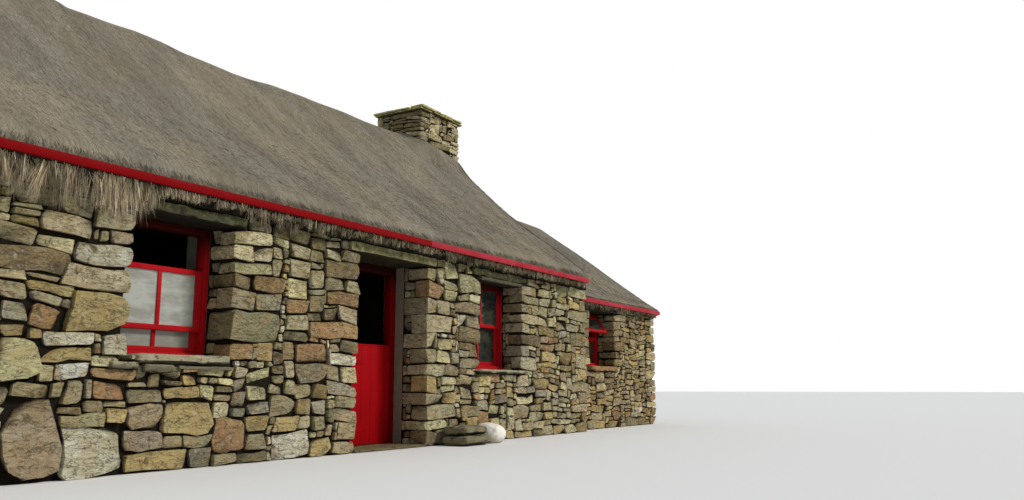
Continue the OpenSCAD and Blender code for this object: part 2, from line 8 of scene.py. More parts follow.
import bpy
import numpy as np
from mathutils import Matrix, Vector


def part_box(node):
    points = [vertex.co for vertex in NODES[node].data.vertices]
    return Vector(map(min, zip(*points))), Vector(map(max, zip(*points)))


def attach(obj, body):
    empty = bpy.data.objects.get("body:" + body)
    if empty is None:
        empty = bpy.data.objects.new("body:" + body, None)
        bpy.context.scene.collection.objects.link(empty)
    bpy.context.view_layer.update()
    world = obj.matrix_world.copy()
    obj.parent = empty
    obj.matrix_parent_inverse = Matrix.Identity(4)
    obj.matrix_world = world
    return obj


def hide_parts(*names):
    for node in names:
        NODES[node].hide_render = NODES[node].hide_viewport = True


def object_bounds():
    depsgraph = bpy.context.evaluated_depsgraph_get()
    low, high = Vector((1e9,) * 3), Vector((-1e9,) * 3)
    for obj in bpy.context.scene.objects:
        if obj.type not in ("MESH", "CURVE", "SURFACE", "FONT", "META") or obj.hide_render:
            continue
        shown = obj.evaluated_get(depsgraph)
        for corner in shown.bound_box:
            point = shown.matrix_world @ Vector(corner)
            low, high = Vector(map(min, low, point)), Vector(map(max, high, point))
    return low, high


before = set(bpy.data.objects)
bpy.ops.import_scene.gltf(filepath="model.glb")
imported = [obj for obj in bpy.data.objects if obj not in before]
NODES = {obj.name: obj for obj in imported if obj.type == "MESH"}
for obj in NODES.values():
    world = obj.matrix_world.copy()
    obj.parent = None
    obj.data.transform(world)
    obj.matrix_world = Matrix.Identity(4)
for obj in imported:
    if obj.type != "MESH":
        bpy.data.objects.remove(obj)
cad_low, cad_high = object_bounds()

# Places read from the frame
HOUSE = "house"
LEAF = "half_door_leaf"
(NEAR_X, MAIN_FRONT_Y, _), (_, _, MAIN_HEAD_Z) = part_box("front_wall_near")
FAR_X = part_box("front_wall_far")[1].x
(_, LOW_FRONT_Y, _), (LOW_END_X, _, LOW_HEAD_Z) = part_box("low_front_wall")
MAIN_BACK_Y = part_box("back_wall")[1].y
LOW_BACK_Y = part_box("low_back_wall")[1].y
RIDGE_Y = (MAIN_FRONT_Y + MAIN_BACK_Y) / 2
MAIN_UNDER_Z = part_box("near_gable")[1].z
LOW_UNDER_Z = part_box("low_end_gable")[1].z
MAIN_HALF = MAIN_BACK_Y - RIDGE_Y
LOW_HALF = LOW_BACK_Y - RIDGE_Y
MAIN_BOARD_LOW, MAIN_BOARD_TOP = (corner.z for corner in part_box("main_eaves_boards"))
LOW_BOARD_LOW, LOW_BOARD_TOP = (corner.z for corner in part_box("low_eaves_boards"))
DOOR_LOW, DOOR_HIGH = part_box("threshold")
DOOR_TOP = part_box("door_lintel")[0].z
DOOR_BEARING = DOOR_LOW.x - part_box("door_lintel")[0].x
FRAME_LOW, FRAME_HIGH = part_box("door_frame")
STACK_LOW, STACK_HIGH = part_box("chimney_stack")
CAP_LOW, CAP_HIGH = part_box("chimney_cap")
SILL_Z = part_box("near_window_frame")[0].z
LOWERED_SASH_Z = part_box("near_window_upper_sash")[0].z

# Sizes that the frame's boxes don't give
MAIN_APEX_Z, LOW_APEX_Z = 4.86, 4.01
EAVES_OUT, LOW_EAVES_OUT = 0.15, 0.13
NOSE_R, RIDGE_R = 0.20, 0.24
LINTEL_T, SILL_T, LOW_SILL_T = 0.06, 0.06, 0.10
WINDOW_BEARING, SILL_BEARING = 0.16, 0.05
SILL_OUT = 0.07
PLASTER_STRIP = 0.12
STACK_WALL = 0.22

# The camera stands low, close to the facade, and looks along it
CAMERA_PLACE = Vector((-8.775, -8.68, 0.64))
CAMERA_HEADING = 31.5
CAMERA_PITCH = 9.16
CAMERA_LENS = 30.3

PAINTS = {
    "ochre": (182, 156, 102), "sand": (190, 176, 138), "buff": (168, 155, 122),
    "rust": (164, 124, 84), "rose": (170, 150, 124), "grey": (152, 144, 122),
    "pale": (204, 197, 172), "olive": (134, 128, 96), "umber": (112, 97, 72),
    "cream": (204, 190, 142), "quartz": (214, 208, 190), "joint": (17, 14, 10),
    "limewash": (134, 130, 121), "plaster": (140, 128, 112), "soot": (30, 27, 24),
    # The eaves boards' two reds are one red in painted shade and in painted sunlight
    "red": (174, 24, 30), "red_door": (152, 8, 15), "red_board_shaded": (121, 6, 9),
    "red_board_sunlit": (167, 50, 60), "red_deep": (112, 5, 11), "straw": (127, 120, 107),
    "straw_grey": (113, 109, 99), "straw_dark": (78, 71, 59), "straw_pale": (176, 168, 149),
    "straw_warm": (130, 120, 102), "moss": (84, 94, 44), "lichen": (172, 166, 104),
    "cap_crust": (212, 202, 128), "chalk": (230, 227, 217), "slab": (104, 101, 82),
    "seat": (128, 121, 98), "lintel": (96, 94, 72), "sill": (176, 168, 142),
    "timber": (88, 64, 44), "flag": (112, 106, 96), "iron": (40, 38, 38),
    # The panes' two tones are painted: the sky's reflection and the shade of the room behind
    "pane_painted_sky": (172, 174, 166), "pane_painted_shade": (46, 50, 50),
}


def linear(c):
    return c / 12.92 if c <= 0.04045 else ((c + 0.055) / 1.055) ** 2.4


def paint(name):
    """A paint's everyday values as linear colour."""
    return tuple(linear(c / 255) for c in PAINTS[name])


def blend(share, first, second):
    """A paint made of two others, as linear colour."""
    return tuple((1 - share) * a + share * b for a, b in zip(paint(first), paint(second)))


# Smooth noise on arrays of points

NOISE_SIZE = 64
NOISE_GRID = np.random.default_rng(7).uniform(-1, 1, (NOISE_SIZE,) * 3)


def smooth_noise(points, size, shift=0.0):
    """Value noise between -1 and 1 at points, with features of about the given size."""
    p = np.asarray(points, float) / size + 100.0 + shift
    cell = np.floor(p).astype(int)
    f = p - cell
    f = f * f * (3 - 2 * f)
    total = np.zeros(len(p))
    for corner in np.ndindex(2, 2, 2):
        i, j, k = ((cell + corner) % NOISE_SIZE).T
        weight = np.where(corner, f, 1 - f)
        total += weight[:, 0] * weight[:, 1] * weight[:, 2] * NOISE_GRID[i, j, k]
    return total


def noise_vectors(points, size):
    return np.stack([smooth_noise(points, size, 17.3 * k) for k in range(3)], axis=1)


# Modelling helpers

def deselect():
    if bpy.context.object and bpy.context.object.mode != "OBJECT":
        bpy.ops.object.mode_set(mode="OBJECT")
    bpy.ops.object.select_all(action="DESELECT")


def pick(obj):
    deselect()
    obj.select_set(True)
    bpy.context.view_layer.objects.active = obj


def edit(obj, *steps):
    """Runs edit-mode steps on the whole of an object."""
    pick(obj)
    bpy.ops.object.mode_set(mode="EDIT")
    bpy.ops.mesh.select_all(action="SELECT")
    for step in steps:
        step()
    bpy.ops.object.mode_set(mode="OBJECT")


def settle(obj):
    """Puts an object's place and size into its mesh."""
    pick(obj)
    bpy.ops.object.transform_apply(location=True, rotation=True, scale=True)


def dress(obj, name, material, body=HOUSE, smooth=40, node=None):
    """Names a finished piece, gives it its finish and makes it ride; it may stand for a node."""
    settle(obj)
    obj.name = name
    obj.data.name = name
    obj.data.materials.clear()
    for one in material if isinstance(material, list) else [material]:
        obj.data.materials.append(one)
    if smooth:
        bpy.ops.object.shade_smooth_by_angle(angle=math.radians(smooth))
    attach(obj, body)
    if node:
        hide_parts(node)
    return obj


def pick_finishes(obj, kinds):
    """Gives each face the finish with its number in the piece's list."""
    obj.data.polygons.foreach_set("material_index", np.array(kinds, int))


def box(low, high):
    """A plain block between two corners, to be shaped further."""
    deselect()
    low, high = Vector(low), Vector(high)
    bpy.ops.mesh.primitive_cube_add(size=1, location=(low + high) / 2)
    obj = bpy.context.object
    obj.scale = high - low
    settle(obj)
    return obj


def modify(obj, kind, **settings):
    """Adds a modifier and applies it."""
    pick(obj)
    mod = obj.modifiers.new(kind.title(), kind)
    for key, value in settings.items():
        setattr(mod, key, value)
    bpy.ops.object.modifier_apply(modifier=mod.name)


def join(objects):
    """Joins finished parts of one piece into the first of them."""
    deselect()
    for obj in objects:
        obj.select_set(True)
    bpy.context.view_layer.objects.active = objects[0]
    bpy.ops.object.join()
    return objects[0]


def points_of(obj):
    co = np.empty(len(obj.data.vertices) * 3)
    obj.data.vertices.foreach_get("co", co)
    return co.reshape(-1, 3)


def set_points(obj, co):
    obj.data.vertices.foreach_set("co", np.asarray(co, float).ravel())
    obj.data.update()


def take_blank(obj):
    """A blank's points and faces; the object itself goes."""
    co, faces = points_of(obj), np.array([list(p.vertices) for p in obj.data.polygons])
    bpy.data.objects.remove(obj)
    return co, faces


def laid_copies(name, co, faces, tone, joint_shade=None, own=None):
    """One object of all the copies laid of some blanks, each point with its copy's tone."""
    mesh = bpy.data.meshes.new(name)
    mesh.from_pydata(co.tolist(), [], faces)
    tone = np.concatenate([tone, np.ones((len(tone), 1))], axis=1)
    for key, kind, field, values in (
        ("tone", "FLOAT_COLOR", "color", tone), ("joint_shade", "FLOAT", "value", joint_shade),
        ("own", "FLOAT_VECTOR", "vector", own),
    ):
        if values is not None:
            mesh.attributes.new(key, kind, "POINT").data.foreach_set(field, values.ravel())
    obj = bpy.data.objects.new(name, mesh)
    bpy.context.scene.collection.objects.link(obj)
    return obj


def eased(obj, width, **limit):
    """Softens an object's edges."""
    modify(obj, "BEVEL", width=width, segments=2, **limit)
    return obj


def eased_box(low, high, width=0.004):
    return eased(box(low, high), width, limit_method="NONE")


def free_copy(node):
    """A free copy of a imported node, with its loose triangles merged and its faces made whole."""
    obj = bpy.data.objects.new(node + "_copy", NODES[node].data.copy())
    bpy.context.scene.collection.objects.link(obj)
    edit(
        obj,
        lambda: bpy.ops.mesh.remove_doubles(threshold=0.00005),
        lambda: bpy.ops.mesh.dissolve_limited(angle_limit=math.radians(1)),
    )
    return obj


def cut(obj, low, high):
    """Takes the block between two corners out of an object."""
    tool = box(low, high)
    modify(obj, "BOOLEAN", operation="DIFFERENCE", object=tool, solver="EXACT")
    bpy.data.objects.remove(tool)


# Materials

class Finish:
    """A node material under construction. A colour is a paint's name, a tuple or a socket."""

    def __init__(self, name, rough=0.85, specular=0.3):
        self.material = bpy.data.materials.new(name)
        self.material.use_nodes = True
        self.tree = self.material.node_tree
        self.shader = self.tree.nodes["Principled BSDF"]
        self.fill(self.shader, {"Roughness": rough, "Specular IOR Level": specular})
        self.place = self.made("TexCoord").outputs["Object"]

    def fill(self, node, inputs):
        """Sets a node's inputs, by number or name, to values or to other nodes' outputs."""
        for key, value in inputs.items():
            socket = node.inputs[key]
            if isinstance(value, bpy.types.NodeSocket):
                self.tree.links.new(value, socket)
            elif socket.type == "RGBA":
                socket.default_value = (*(paint(value) if isinstance(value, str) else value), 1.0)
            else:
                socket.default_value = value
        return node

    def made(self, kind, inputs=None, **settings):
        node = self.tree.nodes.new("ShaderNode" + kind)
        for key, value in settings.items():
            setattr(node, key, value)
        return self.fill(node, inputs or {})

    def attribute(self, name, output="Color"):
        return self.made("Attribute", attribute_name=name).outputs[output]

    def own_place(self):
        """Coordinates moved by each stone's own offset, so that its pattern ends at its joints."""
        moves = {0: self.place, 1: self.attribute("own", "Vector")}
        return self.made("VectorMath", moves, operation="ADD").outputs[0]

    def stretched(self, scale, shift=0.0):
        """The object's own coordinates, scaled and moved aside for a pattern of its own."""
        moves = {"Vector": self.place, "Scale": scale, "Location": (shift, shift, shift)}
        return self.made("Mapping", moves).outputs["Vector"]

    def noise(self, scale, detail=4.0, rough=0.55, distortion=0.0, stretch=None, shift=0.0):
        return self.made("TexNoise", {
            "Vector": self.stretched(stretch, shift) if stretch else self.place,
            "Scale": scale, "Detail": detail, "Roughness": rough, "Distortion": distortion,
        }).outputs["Fac"]

    def cells(self, scale, place, feature="F1", output="Distance"):
        return self.made("TexVoronoi", {"Vector": place, "Scale": scale}, feature=feature).outputs[output]

    def span(self, value, low, high, to_low=0.0, to_high=1.0):
        return self.made("MapRange", {
            "Value": value, "From Min": low, "From Max": high, "To Min": to_low, "To Max": to_high,
        }).outputs["Result"]

    def math(self, operation, a, b=0.0):
        return self.made("Math", {0: a, 1: b}, operation=operation).outputs[0]

    def mix(self, share, a, b):
        return self.made("Mix", {0: share, 6: a, 7: b}, data_type="RGBA").outputs[2]

    def coats(self, col, *coats):
        """Lays coats over a colour: each is a mask, the levels of it where the coat begins and
        is whole, the share that it then covers, and its colour."""
        for mask, begins, whole, share, colour in coats:
            col = self.mix(self.span(mask, begins, whole, 0.0, share), col, colour)
        return col

    def part(self, vector, axis):
        return self.made("SeparateXYZ", {0: vector}).outputs[axis]

    def facing_up(self):
        return self.part(self.made("NewGeometry").outputs["Normal"], "Z")

    def height(self):
        return self.part(self.place, "Z")

    def finish(self, colour, *bumps, rough=None):
        """Sets the colour and the bumps, each a height socket and its depth in metres."""
        self.fill(self.shader, {"Base Color": colour})
        if rough is not None:
            self.fill(self.shader, {"Roughness": rough})
        normal = {}
        for value, depth in bumps:
            bump = self.made("Bump", {"Height": value, "Distance": depth, **normal})
            normal = {"Normal": bump.outputs["Normal"]}
        self.fill(self.shader, normal)
        return self.material


# Where faces looking down begin and end taking painted shade
UNDERSIDE_SHADE = (-0.25, -0.75)


def rubble_finish():
    """Weathered fieldstone: each stone's own tone, with strata, chips, lichen, stains and moss, and painted
    shade where it sinks into the joints.
    """
    f = Finish("rubble", rough=0.92, specular=0.12)
    tone, joint_shade, height = f.attribute("tone"), f.attribute("joint_shade", "Fac"), f.height()
    f.place = f.own_place()
    broad = f.noise(6.0, 5, 0.6)
    strata = f.noise(8.0, 8, 0.7, 0.8, (1.0, 1.0, 4.5))
    lichen = f.noise(15.0, 8, 0.75, 0.9, (1.0, 1.0, 1.2), 7.0)
    stains = f.noise(12.0, 8, 0.75, 0.9, (1.0, 1.0, 1.4), 21.0)
    flecks = f.noise(28.0, 8, 0.75, 0.6)
    grain = f.noise(110.0, 6, 0.8)
    chips = f.cells(20.0, f.stretched((1.0, 1.0, 1.8), 3.0))
    beds = f.noise(5.0, 4, 0.6, 0.4, (1.0, 1.0, 3.0), 31.0)
    seam = f.math("ABSOLUTE", f.math("SUBTRACT", beds, 0.5))
    groove = f.span(seam, 0.0, 0.02)
    dark = blend(0.35, "umber", "joint")
    col = f.coats(
        tone, (broad, 0.42, 0.56, 0.9, f.mix(0.55, tone, blend(0.25, "ochre", "rust"))),
        (strata, 0.50, 0.62, 0.65, f.mix(0.6, tone, "umber")),
        (lichen, 0.53, 0.59, 0.7, f.mix(0.6, tone, blend(0.2, "pale", "olive"))),
        (stains, 0.55, 0.61, 0.8, dark), (seam, 0.014, 0.003, 0.7, dark),
        (flecks, 0.59, 0.66, 0.5, "quartz"), (grain, 0.50, 0.36, 0.55, dark),
    )
    damp = f.math("MULTIPLY", f.span(height, 1.5, 2.15), f.span(broad, 0.46, 0.60))
    # Painted shade: points sunk into the joints are darkened nearly to black
    col = f.coats(col, (damp, 0.0, 1.0, 0.5, "moss"), (joint_shade, 0.0, 1.0, 0.92, "joint"))
    return f.finish(
        col, (strata, 0.026), (chips, 0.010), (groove, 0.006), (flecks, 0.009), (grain, 0.006)
    )


def hearting_finish():
    """The dark earth and small stones seen between the facing stones."""
    f = Finish("hearting", rough=1.0, specular=0.1)
    grain = f.noise(40.0, 5)
    return f.finish(f.mix(grain, "joint", blend(0.08, "joint", "umber")), (grain, 0.02))


def limewash_finish():
    """Old limewash on the inner faces."""
    f = Finish("limewash", rough=0.95, specular=0.15)
    broad, grain = f.noise(2.0, 5, 0.6), f.noise(30.0, 5)
    col = f.coats(
        "limewash", (broad, 0.4, 0.7, 1.0, blend(0.35, "limewash", "grey")),
        (grain, 0.45, 0.7, 0.3, "buff"),
    )
    return f.finish(col, (broad, 0.04), (grain, 0.006))


def daubed_finish(name, dark, pale):
    """Daubed plaster or soot, uneven in tone."""
    f = Finish(name, rough=0.95, specular=0.15)
    broad, grain = f.noise(6.0, 5, 0.6), f.noise(60.0, 5)
    return f.finish(f.mix(broad, dark, pale), (broad, 0.02), (grain, 0.004))


def slab_finish(name, base, mossy, lichened, shadow_z=None):
    """Split slabs: a base tone, moss in damp patches and lichen rings, painted shade darkening them toward a
    foot, and painted shade on faces that look down.
    """
    f = Finish(name, rough=0.9, specular=0.12)
    broad, grain, spots = f.noise(7.0, 6, 0.65), f.noise(80.0, 6, 0.7), f.noise(16.0, 5, 0.6)
    layers = f.noise(7.0, 6, 0.6, 0.5, (1.0, 1.0, 9.0))
    col = f.coats(
        blend(0.5, base, "joint"), (layers, 0.3, 0.6, 1.0, base), (grain, 0.4, 0.65, 0.4, "umber"),
        (spots, 0.5, 0.60, lichened, "lichen"), (broad, 0.44, 0.56, mossy, "moss"),
        (spots, 0.42, 0.34, 0.7, "joint"),
    )
    # Painted shade below a level, darkening the lower front of the slab
    if shadow_z is not None:
        level = f.math("ADD", f.height(), f.span(broad, 0.3, 0.7, -0.02, 0.02))
        col = f.coats(col, (level, shadow_z + 0.030, shadow_z, 0.75, blend(0.5, "slab", "joint")))
    # Painted shade on faces that look down
    col = f.coats(col, (f.facing_up(), *UNDERSIDE_SHADE, 0.85, "joint"))
    return f.finish(col, (layers, 0.012), (broad, 0.02), (grain, 0.004))


def cap_finish():
    """The chimney's slabs: brown layers under a bright crust of lichen, with painted shade on faces that
    look down.
    """
    f = Finish("lichened_slab", rough=0.92, specular=0.12)
    layers = f.noise(9.0, 7, 0.65, 0.5, (1.0, 1.0, 7.0))
    crust, grain = f.noise(14.0, 7, 0.7, 0.5), f.noise(80.0, 6, 0.75)
    level = f.math("ADD", f.height(), f.span(crust, 0.3, 0.7, -0.03, 0.03))
    green = f.coats(blend(0.4, "lichen", "moss"), (crust, 0.4, 0.6, 1.0, "cap_crust"))
    col = f.coats(
        blend(0.3, "umber", "joint"), (layers, 0.4, 0.6, 1.0, blend(0.5, "umber", "buff")),
        (level, CAP_HIGH.z - 0.092, CAP_HIGH.z - 0.062, 0.9, green),
        # Painted shade on faces that look down
        (grain, 0.50, 0.36, 0.5, "umber"), (f.facing_up(), *UNDERSIDE_SHADE, 0.7, "joint"),
    )
    return f.finish(col, (layers, 0.014), (crust, 0.008), (grain, 0.004))


def boulder_finish():
    """A water-worn pale boulder with grey blotches and a greener foot."""
    f = Finish("pale_boulder", rough=0.85, specular=0.3)
    broad, grain = f.noise(7.0, 5, 0.6), f.noise(90.0, 6, 0.7)
    col = f.coats(
        "chalk", (broad, 0.48, 0.70, 0.8, "grey"), (grain, 0.45, 0.65, 0.25, "buff"),
        (f.height(), 0.08, 0.0, 0.7, "olive"),
    )
    return f.finish(col, (broad, 0.02), (grain, 0.003))


def flag_finish():
    """Worn floor flags with dark earth joints."""
    f = Finish("floor_flags", rough=0.9, specular=0.25)
    flat = f.stretched((1.0, 1.35, 0.05))
    own = f.cells(2.0, flat, output="Color")
    edge = f.span(f.cells(2.0, flat, "DISTANCE_TO_EDGE"), 0.0, 0.03)
    grain = f.noise(30.0, 6, 0.65)
    col = f.mix(f.part(own, "X"), blend(0.3, "flag", "buff"), blend(0.3, "flag", "grey"))
    col = f.coats(col, (grain, 0.4, 0.65, 0.5, "umber"))
    return f.finish(f.mix(edge, "joint", col), (edge, 0.012), (grain, 0.005))


def red_finish(name, tone, head_shadow=0.0):
    """Red paint brushed on timber, dulled by weather, with painted shadow darkening it under the heads."""
    f = Finish(name, rough=0.55, specular=0.03)
    grain = f.noise(26.0, 5, 0.6, stretch=(3.0, 3.0, 1.0))
    broad, dirt = f.noise(3.5, 4), f.noise(42.0, 5, 0.7)
    col = f.coats(
        tone, (broad, 0.35, 0.7, 0.5, blend(0.6, tone, "red_deep")),
        (dirt, 0.56, 0.72, 0.4, blend(0.5, "red_deep", "joint")),
    )
    # Painted shadow under the lintels, darkening the frames' heads
    if head_shadow:
        col = f.coats(col, (f.height(), 1.74, 1.99, head_shadow, "joint"))
    worn = f.span(broad, 0.3, 0.7, 0.42, 0.66)
    return f.finish(col, (grain, 0.0016), (dirt, 0.0008), rough=worn)


def straw_finish(name, blades):
    """Weathered straw, as the thatch's body or as single straws with their own tone; the body's faces that
    look down are painted dark as shade.
    """
    f = Finish(name, rough=0.95, specular=0.05)
    clumps = f.noise(2.2, 5, 0.6, stretch=(1.3, 0.3, 0.3))
    if blades:
        return f.finish(f.coats(f.attribute("tone"), (clumps, 0.42, 0.62, 0.32, "straw_dark")))
    broad = f.noise(0.8, 3)
    strands = f.noise(8.0, 5, 0.7, stretch=(8.0, 0.5, 0.5))
    tufts = f.noise(30.0, 6, 0.75, stretch=(2.6, 0.4, 0.4), shift=5.0)
    fine = f.noise(150.0, 4, 0.8, stretch=(1.6, 0.6, 0.6))
    # Painted shade for the body's faces that look down
    under = f.coats("joint", (tufts, 0.4, 0.7, 1.0, blend(0.5, "joint", "straw_dark")))
    col = f.coats(
        "straw_grey", (broad, 0.38, 0.62, 1.0, "straw_warm"), (strands, 0.52, 0.38, 0.65, "straw_dark"),
        (tufts, 0.50, 0.66, 0.45, "straw_pale"), (fine, 0.52, 0.64, 0.6, "straw_pale"),
        (fine, 0.47, 0.37, 0.7, "straw_dark"), (clumps, 0.42, 0.62, 0.38, "straw_dark"),
        (f.facing_up(), -0.05, -0.5, 1.0, under),
    )
    return f.finish(col, (strands, 0.0015), (tufts, 0.0008), (fine, 0.002))


def tuft_finish():
    """The felted clumps that hang below the eaves: upright fibres of each clump's tone over a much darker
    base, painted shade between the fibres.
    """
    f = Finish("hanging_tufts", rough=0.95, specular=0.05)
    fibres = f.noise(12.0, 6, 0.8, stretch=(9.0, 9.0, 0.9))
    tone = f.attribute("tone")
    col = f.coats(f.mix(0.75, tone, "joint"), (fibres, 0.40, 0.58, 1.0, tone))
    return f.finish(col, (fibres, 0.010))


def timber_finish():
    """Roof timbers, browned by smoke."""
    f = Finish("smoked_timber", rough=0.85, specular=0.2)
    grain, broad = f.noise(12.0, 6, 0.65, 0.5, (1.0, 6.0, 6.0)), f.noise(2.5, 4)
    col = f.mix(grain, blend(0.55, "timber", "joint"), blend(0.2, "timber", "buff"))
    return f.finish(f.coats(col, (broad, 0.4, 0.7, 0.5, "soot")), (grain, 0.008))


def iron_finish():
    """Forged iron with rust in its pits."""
    f = Finish("forged_iron", rough=0.55, specular=0.5)
    f.fill(f.shader, {"Metallic": 0.8})
    pits, rust = f.noise(120.0, 5, 0.7), f.noise(20.0, 5, 0.65)
    col = f.coats("iron", (rust, 0.55, 0.72, 0.6, "rust"))
    return f.finish(col, (pits, 0.0015), rough=f.span(pits, 0.3, 0.7, 0.45, 0.8))


def glass_finish(name, tone, through, below_z=None):
    """Old window glass: slightly wavy, dusty, and darker below a level. Its tone is painted: the near
    window's is the sky's reflection, the others' the room's shade.
    """
    f = Finish(name, rough=0.08, specular=0.5)
    f.fill(f.shader, {"Transmission Weight": through, "IOR": 1.45})
    dust = f.noise(4.0, 4, 0.6, stretch=(1.0, 1.0, 2.6))
    col = f.coats(tone, (dust, 0.40, 0.60, 1.0, blend(0.5, tone, "slab")))
    # Less painted sky reflection below a level, so the pane there shows darker
    if below_z is not None:
        col = f.coats(col, (f.height(), below_z + 0.02, below_z, 0.6, blend(0.75, tone, "slab")))
    return f.finish(col, (f.noise(3.0, 2), 0.01))


RUBBLE = rubble_finish()
HEARTING = hearting_finish()
LIMEWASH = limewash_finish()
PLASTER = daubed_finish("grey_plaster", blend(0.4, "plaster", "joint"), blend(0.05, "plaster", "olive"))
SOOTED = daubed_finish("sooted_stone", "joint", blend(0.5, "soot", "umber"))
# The mossy lintels and worn sills are painted in shade below the level given last
SLAB = slab_finish("mossy_slab", "lintel", 0.35, 0.45, DOOR_TOP + 0.030)
DOOR_SLAB = slab_finish("mossy_door_slab", "olive", 0.55, 0.6)
SEAT_SLAB = slab_finish("seat_slab", "seat", 0.12, 0.15)
CAP_SLAB = cap_finish()
THRESHOLD_SLAB = slab_finish("dark_threshold", "umber", 0.15, 0.10)
SILL_SLAB = slab_finish("worn_sill", "sill", 0.15, 0.20, SILL_Z - 0.076)
LOW_SILL_SLAB = slab_finish("reddish_sill", "rust", 0.10, 0.10)
PALE_BOULDER = boulder_finish()
FLAGS = flag_finish()
RED = red_finish("red_joinery", "red", head_shadow=0.9)
RED_DOOR = red_finish("red_door", "red_door")
# The door frame's deeper red is painted shade
RED_FRAME_SHADED = red_finish("red_door_frame_shaded", "red_deep", head_shadow=0.9)
# The boards' deep red is painted shade and their far pinker red painted sunlight and sheen
RED_BOARD_SHADED = red_finish("red_board_shaded", "red_board_shaded")
RED_BOARD_SUNLIT = red_finish("red_far_board_sunlit", "red_board_sunlit")
THATCH = straw_finish("thatch_body", blades=False)
STRAWS = straw_finish("loose_straw", blades=True)
TUFTS = tuft_finish()
TIMBER = timber_finish()
IRON = iron_finish()
# The near window's panes have the sky's reflection painted in; the others have the room's shade painted in
SKY_PAINTED_GLASS = glass_finish("sky_painted_glass", "pane_painted_sky", 0.10, LOWERED_SASH_Z)
SHADE_PAINTED_GLASS = glass_finish("shade_painted_glass", "pane_painted_shade", 0.45)


# Stones

CELL = 0.01
REBATE = 0.045
SLAB_FRONT = 0.05
STONE_REACH, REVEAL_REACH = 0.10, 0.09
LARGE_STONE, PLAIN_WALL = 0.30, 0.55
JOINTS = (0.006, 0.022)
RIMS = (0.007, 0.024)
PROUD = (-0.026, 0.014)
LARGE_WOBBLE, PLAIN_WOBBLE = 0.011, 0.006
# How deep behind the face a point starts to take painted joint shade, and over what depth it deepens
JOINT_SHADE_FROM, JOINT_SHADE_OVER = 0.014, 0.028
SPLIT_ODDS, LEVEL_ODDS = 0.75, 0.45
LEAST_H, LEAST_W, MOST_W = 4, 7, 60
LEVEL_GAP, BOND_SHIFT = 4, 3
TONES = {
    "sand": 0.26, "buff": 0.24, "ochre": 0.14, "cream": 0.08, "rust": 0.06,
    "rose": 0.04, "grey": 0.07, "pale": 0.05, "olive": 0.06, "umber": 0.07,
}

# Odds of each height of stone, in cells
MIXED = {5: 1.2, 7: 2.4, 9: 3.2, 11: 3.2, 13: 2.4, 15: 1.6, 18: 0.9, 22: 0.4}
COARSE = {6: 0.8, 9: 1.6, 12: 3.0, 14: 3.0, 16: 2.2, 19: 1.2, 24: 0.4}
FINE = {6: 1.0, 8: 2.6, 10: 3.0, 12: 2.4, 14: 1.6, 17: 0.8}
SMALL = {5: 1.5, 7: 3.0, 9: 3.0, 11: 2.0, 14: 0.8}
THIN = {4: 1.4, 5: 3, 6: 3, 8: 2, 11: 1.2}


def stone_blank(cuts, seed):
    """A rounded, slightly broken block from -1 to 1, as its points, its faces and the knee
    between its flat middle and its rounded rim."""
    deselect()
    bpy.ops.mesh.primitive_cube_add(size=2)
    obj = bpy.context.object
    edit(
        obj,
        lambda: bpy.ops.mesh.subdivide(number_cuts=cuts),
        lambda: bpy.ops.transform.tosphere(value=0.07),
        lambda: bpy.ops.transform.vertex_random(offset=0.055, uniform=0.0, normal=0.0, seed=seed),
    )
    co, faces = take_blank(obj)
    return co / np.abs(co).max(axis=0), faces, 1 - 2 / (cuts + 1)


PLAIN_BLANKS = [stone_blank(2, 51 + i) for i in range(12)]
LARGE_BLANKS = [stone_blank(4, 91 + i) for i in range(8)]


def snap(value):
    return round(round(value / CELL) * CELL, 4)


def off_span(values, low, high):
    """How far each value lies outside a span, 0 within it."""
    return np.maximum(np.maximum(low - values, values - high), 0)


class Face:
    """A wall face: u runs along it, z up from its foot, and n out of it. Its beds wander a
    little, except beside its edges and the rectangles that are kept straight."""

    CALM_REACH = 0.22

    def __init__(self, origin, along, outward, width, height, kept=()):
        self.origin = np.array(origin, float)
        self.along = np.array(along, float)
        self.outward = np.array(outward, float)
        self.flip = np.cross(self.along, (0, 0, 1)) @ self.outward < 0
        self.width, self.height, self.kept = width, height, list(kept)

    def flat(self, u, n, z):
        along, out = np.outer(u, self.along), np.outer(n, self.outward)
        return self.origin + along + out + np.outer(z, (0, 0, 1.0))

    def block(self, u_span, n_span, z_span):
        """The block between two spans of the face and two depths, as its corners."""
        corners = self.flat(u_span, n_span, z_span)
        return corners.min(axis=0), corners.max(axis=0)

    def slab(self, u0, u1, z0, z1, depth=REBATE):
        """The block between a little before the face and a depth behind it."""
        return self.block((u0, u1), (SLAB_FRONT, -depth), (z0, z1))

    def calm(self, u, z):
        """0 at an edge or a kept rectangle, 1 well away from them."""
        near = np.minimum.reduce([u, self.width - u, z, self.height - z])
        for u0, u1, z0, z1 in self.kept:
            near = np.minimum(near, np.hypot(off_span(u, u0, u1), off_span(z, z0, z1)))
        return np.clip(near / self.CALM_REACH, 0, 1)

    def world(self, u, n, z):
        place = self.flat(u, 0 * n, z)
        calm = self.calm(u, z)
        drift = 0.034 * smooth_noise(place, 0.5, 3.1) + 0.020 * smooth_noise(place, 0.15, 8.7)
        rise = 0.036 * smooth_noise(place, 0.62, 21.9) + 0.017 * smooth_noise(place, 0.17, 5.5)
        return self.flat(u + calm * drift, n, z + calm * rise)


def split_off(p, normal, depth):
    """Splits the part of a stone beyond a plane off it, the plane lying depth inside."""
    normal = np.array(normal) / np.linalg.norm(normal)
    beyond = p @ normal
    beyond -= beyond.max() - depth
    p -= np.maximum(beyond, 0)[:, None] * normal


